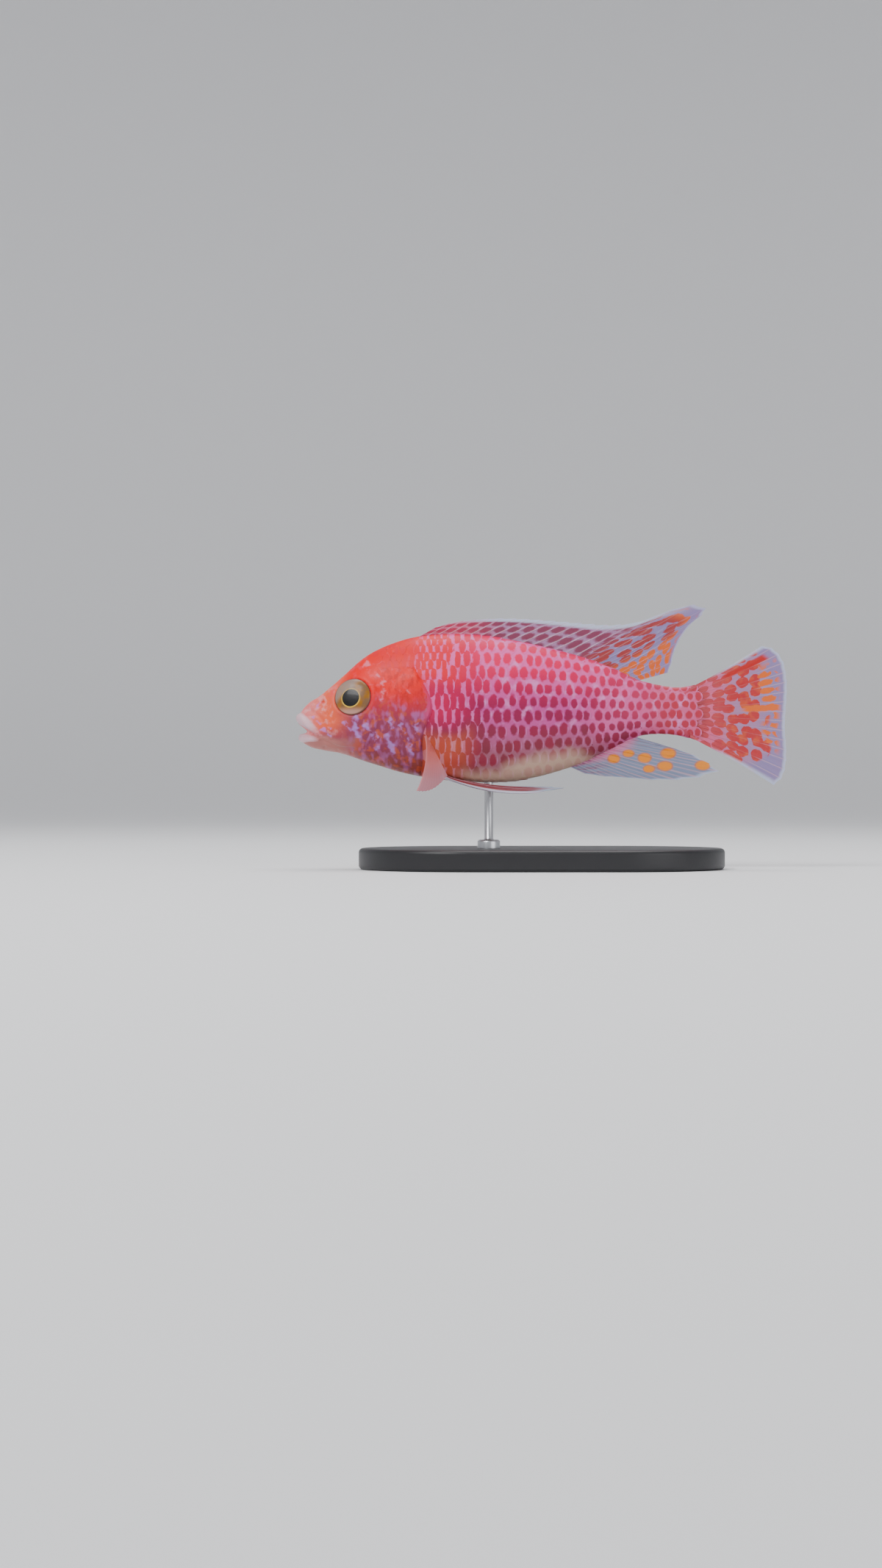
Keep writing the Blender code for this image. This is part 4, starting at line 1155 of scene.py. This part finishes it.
def skin_material():
    p = Paint("fish_skin")
    u, v = p.place()
    spot, rim, _ = body_colours(p, u, v)
    colour = p.layers(
        p.mix(u.ramp(35, 39), head_colour(p, u, v), p.mix(0.75, rim, spot)),
        (p.values("lip"), p.mix(p.noise(1.0, 3.0) * 0.3, LIP_PALE, SNOUT)),
        # painted shade inside the open mouth
        (p.values("mouth"), MOUTH_SHADE))
    return p.finish(colour, 0.45, p.noise(0.5, 3.0), 0.05, **DAMP, Subsurface_Weight=0.1,
                    Subsurface_Scale=0.0015)


def scale_material():
    """On the body a spot with a rim round it on every scale, on the head the skin's marks."""
    p = Paint("fish_scales")
    u, v = p.place()
    along_scale, over_scale = p.map("Scale")
    chance = p.values("chance")
    spot, rim, along = body_colours(p, u, v)
    tall = along.ramp(58, 46) * 0.7 + 0.67 + ((chance * 5.1).fraction() - 0.5) * 0.2
    a = (along_scale * 2 - 1.42) / ((chance - 0.5) * 0.14 + 0.44)
    b = (over_scale * 2 - 1) / tall
    spotted = ((a * a + b * b) ** 0.5 + (p.noise(1.3) - 0.5) * 0.9).ramp(1.2, 0.74)
    # the rear edge of each scale is paled a little with the painted sheen colour
    rim = p.mix(along_scale.ramp(0.9, 1.0) * 0.35, rim, RIM_SHEEN)
    rim = p.mix(along.ramp(32, 38), spot, rim)
    shade = p.mix((chance * 7.3).fraction() * 0.22, spot, SHOULDER)
    body = p.mix(spotted, rim, shade)
    colour = p.mix(p.values("spotted"), head_colour(p, u, v), body)
    return p.finish(colour, 0.45, p.noise(0.35, 3.0), 0.03, **DAMP, Subsurface_Weight=0.06,
                    Subsurface_Scale=0.001)


# Fin colours
WEB, WEB_WARM, WEB_CLEAR = tint(168, 136, 166), tint(196, 120, 144), tint(144, 132, 170)
STREAK, STREAK_RED = tint(124, 64, 86), tint(178, 58, 50)
ORANGE, EDGE, RAY = tint(218, 122, 50), tint(206, 216, 234), tint(206, 180, 190)
BLOTCH, STREAK_FRONT = tint(152, 66, 68), tint(164, 60, 84)
EGG, EGG_EDGE, ANAL_WEB = tint(246, 160, 34), tint(200, 118, 66), tint(134, 144, 166)
PELVIC_ROOT, PELVIC_TIP = tint(176, 122, 116), tint(176, 190, 206)
PELVIC_STREAK, PELVIC_EDGE = tint(112, 26, 44), tint(206, 206, 220)
PECTORAL_ROOT, PECTORAL_TIP = tint(216, 134, 130), tint(190, 142, 150)
PECTORAL_RAY, PECTORAL_EDGE = tint(226, 164, 168), tint(230, 160, 164)
PECTORAL_SOLID = 0.62  # how little can be seen through the pectoral fins


def blotches(p, ray, share, rows, size, slant=0.0):
    """Rows of spots in the web between rays, from 0 to 1."""
    a = ray.fraction() - 0.5
    jitter = (ray.floor() * 12.9898).sine() * 0.5
    b = (share * rows + jitter + a * slant).fraction() - 0.5
    off = ((a / size[0]) ** 2 + (b / size[1]) ** 2) ** 0.5 + (p.noise(1.2) - 0.5) * 0.7
    return off.ramp(1.2, 0.7)


def cells(p, ray, share, along, across, size):
    """Uneven rounded blotches that here and there run together, from 0 to 1."""
    node = p.node("ShaderNodeTexVoronoi", feature="F1", voronoi_dimensions="2D")
    node.inputs["Scale"].default_value = 1.0
    node.inputs["Randomness"].default_value = 0.6
    p.tree.links.new(p.join(ray * across, share * along), node.inputs["Vector"])
    off = Value(p.tree, node.outputs["Distance"]) + (p.noise(1.5) - 0.5) * 0.28
    return off.ramp(size + 0.05, size - 0.05)


def near_ray(ray, low=0.42, high=0.48):
    """1 along the rays and 0 in the web between them."""
    return abs(ray.fraction() - 0.5).ramp(low, high)


def fin_paint(name):
    """A fin's paint, with where each place lies in rays from the first and along its ray."""
    p = Paint(f"{name}_fin_web")
    return p, *p.map("Fin")


def fin_finish(p, ray, share, *layers):
    bars = (share * 150).sine() * near_ray(ray, 0.36, 0.46)
    return p.finish(p.layers(*layers), 0.38, bars * 0.5 + p.noise(0.5, 3.0), 0.03,
                    Coat_Weight=0.2, Coat_Roughness=0.2, Subsurface_Weight=0.15,
                    Subsurface_Scale=0.001)


def dorsal_material():
    """Lilac web with upright streaks, blotches in the soft part and a pale top edge."""
    p, ray, share = fin_paint("dorsal")
    u, _ = p.place()
    soft = ray.ramp(14.5, 16.5)
    streaks = blotches(p, ray, share, 2.9, (0.5, 0.42), 0.3)
    streaks = streaks * (1 - soft) + cells(p, ray, share, 6.4, 0.68, 0.45) * soft
    warm = ray.ramp(20.5, 22.5).most(share.ramp(0.72, 0.9) * ray.ramp(16.5, 18.0))
    top = share.ramp(0.78, 0.90) * ray.ramp(19, 15.5) * u.ramp(40, 60)
    dark = p.layers(p.mix(ray.ramp(14.5, 18), STREAK, BLOTCH),
                    (u.ramp(60, 44), STREAK_FRONT),
                    (warm * 0.85, ORANGE))
    return fin_finish(
        p, ray, share,
        p.mix(ray.ramp(15, 19), p.mix(u.ramp(44, 62), WEB_WARM, WEB), WEB_CLEAR),
        (streaks * share.ramp(0.97, 0.88), dark),
        (top * 0.9, EDGE),
        (share.ramp(0.95, 0.985) * 0.6, EDGE),
        (near_ray(ray) * (0.4 - soft * 0.2), RAY))


def caudal_material():
    """Pink root, red and orange blotches, and a clear outer part with orange streaks."""
    p, ray, share = fin_paint("caudal")
    u, v = p.place()
    wander = (p.noise(5.0) - 0.5) * 6
    outer = (u + wander + v * 0.12 + v.ramp(-11, -16) * 6).ramp(130, 136)
    root = (u + wander * 0.5).ramp(127, 117)
    hot = p.mix(p.noise(3.0).ramp(0.45, 0.65) * 0.5, STREAK_RED, ORANGE)
    spots = cells(p, ray, share, 7.6, 0.6, 0.47)
    streaks = blotches(p, ray, share, 5.2, (0.42, 0.46)) * p.noise(5.0).ramp(0.38, 0.48)
    streaks = (streaks + outer).ramp(1.3, 1.7) * u.ramp(138.5, 136.5)
    streaks = streaks * ray.ramp(1.8, 3.2) * ray.ramp(13.2, 11.8)
    middle = abs(ray - 7.6 + (p.noise(2.5, 3.0) - 0.5) * 0.9).ramp(0.46, 0.26)
    middle = middle * share.ramp(0.5, 0.6) * share.ramp(0.97, 0.9)
    upper = abs(ray - 1.6).ramp(0.6, 0.3) * share.ramp(0.35, 0.45) * share.ramp(0.92, 0.85)
    side_edges = ray.ramp(0.7, 0.1).most(ray.ramp(15.3, 15.9)) * share.ramp(0.2, 0.5)
    return fin_finish(
        p, ray, share,
        p.mix(root, p.mix(outer, WEB, WEB_CLEAR), RIM_STALK),
        ((spots - outer).ramp(0.05, 0.4) * 0.95, p.mix(root, hot, SPOT_STALK)),
        (streaks, ORANGE),
        (middle, ORANGE),
        (upper, STREAK_RED),
        (near_ray(ray) * (outer * 0.45 + 0.1), RAY),
        (share.ramp(0.955, 0.99).most(side_edges) * 0.8, EDGE))


def anal_material():
    """Grey-blue web with fine rays, streaks in front and orange egg spots."""
    p, ray, share = fin_paint("anal")
    u, _ = p.place()
    streaks = blotches(p, ray, share, 3.4, (0.42, 0.3)) * u.ramp(92, 84)
    rays = near_ray(ray, 0.36, 0.46).most(near_ray(ray * 2, 0.30, 0.46) * 0.7)
    egg = p.values("egg") + (p.noise(2.0) - 0.5) * 0.08
    return fin_finish(
        p, ray, share,
        p.mix(share.ramp(0.0, 0.25), RIM_REAR, ANAL_WEB),
        (streaks * 0.6, STREAK),
        (rays * 0.6, RAY),
        (share.ramp(0.93, 0.99) * 0.7, EDGE),
        (egg.ramp(0.38, 0.50) * 0.7, EGG_EDGE),
        (egg.ramp(0.45, 0.62), EGG))


def pelvic_material():
    """A dark red streak behind the pale first ray."""
    p, ray, share = fin_paint("pelvic")
    streak = ray.ramp(0.3, 0.6) * ray.ramp(2.8, 1.9) * share.ramp(1.0, 0.75)
    return fin_finish(
        p, ray, share,
        p.mix(share.ramp(0.4, 1.0), PELVIC_ROOT, PELVIC_TIP),
        (streak * 0.95, PELVIC_STREAK),
        (ray.ramp(0.45, 0.25), PELVIC_EDGE),
        (near_ray(ray, 0.38, 0.46) * 0.3, RAY))


def pectoral_material():
    p, ray, share = fin_paint("pectoral")
    p.shader.inputs["Alpha"].default_value = PECTORAL_SOLID
    return fin_finish(
        p, ray, share,
        p.mix(share.ramp(0.1, 0.9), PECTORAL_ROOT, PECTORAL_TIP),
        (near_ray(ray, 0.34, 0.46) * 0.2, PECTORAL_RAY),
        (ray.ramp(0.6, 0.2) * 0.7, PECTORAL_EDGE))


# Eye colours
# the grey iris colour is partly the iris's own and partly a painted reflection
IRIS_GOLD, IRIS_BROWN, IRIS_GREY_GLINT = tint(150, 108, 56), tint(122, 96, 76), tint(172, 160, 158)
IRIS_LOW, IRIS_RING, IRIS_EDGE = tint(206, 168, 158), tint(226, 196, 130), tint(104, 70, 64)
PUPIL_BLACK = (0.004, 0.004, 0.005, 1)


def eye_material():
    """A black pupil in a thin gold ring, and a patchy iris that is dark at its edge and greyer on
    its upper front, partly its own grey and partly a painted reflection.
    """
    p = Paint("fish_eye")
    reach, rim, fore, rise = (p.values(name) for name in ("reach", "rim", "fore", "rise"))
    ring = abs(reach - PUPIL_RADIUS - 0.15).ramp(0.3, 0.05)
    colour = p.layers(
        p.mix(p.noise(1.6, 3.0).ramp(0.35, 0.65), IRIS_GOLD, IRIS_BROWN),
        # pale grey crescent on the iris's upper front: partly its own grey, partly painted
        # reflection
        ((rise * 0.7 - fore * 0.7).ramp(1.4, 3.2) * 0.5, IRIS_GREY_GLINT),
        (rise.ramp(-2.2, -4.2) * 0.7, IRIS_LOW),
        (ring * rise.ramp(2.0, -2.0) * 0.6 + ring * 0.35, IRIS_RING),
        (rim.ramp(4.9, 5.25), IRIS_EDGE),
        ((reach - PUPIL_RADIUS).ramp(0.06, -0.06), PUPIL_BLACK))
    return p.finish(colour, 0.35, p.noise(0.5, 3.0), 0.02, Coat_Weight=0.15,
                    Coat_Roughness=0.08, Specular_IOR_Level=0.3)


def plain_material(name, colour, roughness, metallic=0.0, grain=0.0):
    """One even colour, with a bump of so many millimetres if grain is given."""
    p = Paint(name)
    height = p.noise(0.6, 4.0) if grain else None
    return p.finish(colour, roughness, height, grain, Metallic=metallic)


# Studio, camera and the whole model

VIEW_CENTRE = (-0.0286, 0.0242)  # x and z at the middle of the picture
VIEW_DISTANCE, VIEW_HEIGHT = 0.8, 0.4458
STUDIO_PROFILE = [(0.5, 0.0), (1.0, 0.0), (1.2, 0.01), (1.36, 0.06), (1.45, 0.15),
                  (1.49, 0.28), (1.5, 0.45), (1.5, 1.4)]  # radius and height, in metres
# Place, size and power of each lamp, all aimed at one place
LAMPS = {"key": ((-0.45, -0.6, 0.75), 0.45, 7.0), "fill": ((0.7, -0.7, 0.3), 0.7, 2.6),
         "top": ((0.05, 0.15, 0.9), 0.6, 6.0)}
LAMP_AIM = (0, 0, AXIS_HEIGHT * MM)
SKY, SKY_STRENGTH = (0.9, 0.93, 1.0, 1), 0.34
PAPER, BLACK = (0.84, 0.84, 0.85, 1), (0.012, 0.012, 0.014, 1)
STEEL = (0.56, 0.57, 0.59, 1)


def build_studio():
    """A pale round floor whose rim curves up into a wall all the way round."""
    sides = ROUND_SIDES
    faces = [list(range(sides))]
    for ring in range(len(STUDIO_PROFILE) - 1):
        for side in range(sides):
            low, beside = ring * sides + side, ring * sides + (side + 1) % sides
            faces.append([low, low + sides, beside + sides, beside])
    mesh = bpy.data.meshes.new("studio_floor")
    mesh.from_pydata(sum(turned(0, STUDIO_PROFILE), []), [], faces)
    floor = in_scene("studio_floor", mesh)
    curve = floor.modifiers.new("curve", "SUBSURF")
    curve.levels = curve.render_levels = 2
    mesh.shade_smooth()
    mesh.materials.append(plain_material("studio_paper", PAPER, 0.9))

    world = bpy.data.worlds.new("studio_air")
    world.use_nodes = True
    sky = world.node_tree.nodes["Background"].inputs
    sky["Color"].default_value = SKY
    sky["Strength"].default_value = SKY_STRENGTH
    bpy.context.scene.world = world

    for name, (place, size, power) in LAMPS.items():
        light = bpy.data.lights.new(name, "AREA")
        light.size, light.energy = size, power
        lamp = in_scene(name, light)
        lamp.location = place
        aim = Vector(LAMP_AIM) - Vector(place)
        lamp.rotation_euler = aim.to_track_quat("-Z", "Y").to_euler()


def build_camera():
    view = bpy.data.cameras.new("camera")
    view.sensor_width = 36.0
    view.lens = view.sensor_width / 2 * VIEW_DISTANCE / (VIEW_HEIGHT / 2)
    view.clip_start = 0.01
    camera = in_scene("camera", view)
    camera.location = (VIEW_CENTRE[0], -VIEW_DISTANCE, VIEW_CENTRE[1])
    camera.rotation_euler = (math.pi / 2, 0, 0)
    bpy.context.scene.camera = camera


build_skin(skin_material())
coat = scale_material()
for side_name, side in SIDES:
    build_scales(f"scales_{side_name}", side, coat)
build_dorsal(dorsal_material())
build_anal(anal_material())
build_caudal(caudal_material())
pectoral_paint, pelvic_paint = pectoral_material(), pelvic_material()
eye_paint = eye_material()
for side_name, side in SIDES:
    build_pectoral(side_name, side, pectoral_paint)
    build_pelvic(side_name, side, pelvic_paint)
    build_eye(side_name, side, eye_paint)
build_stand(plain_material("satin_black", BLACK, 0.42, 0.0, 0.02),
            plain_material("brushed_steel", STEEL, 0.3, 1.0, 0.01))
build_studio()
build_camera()
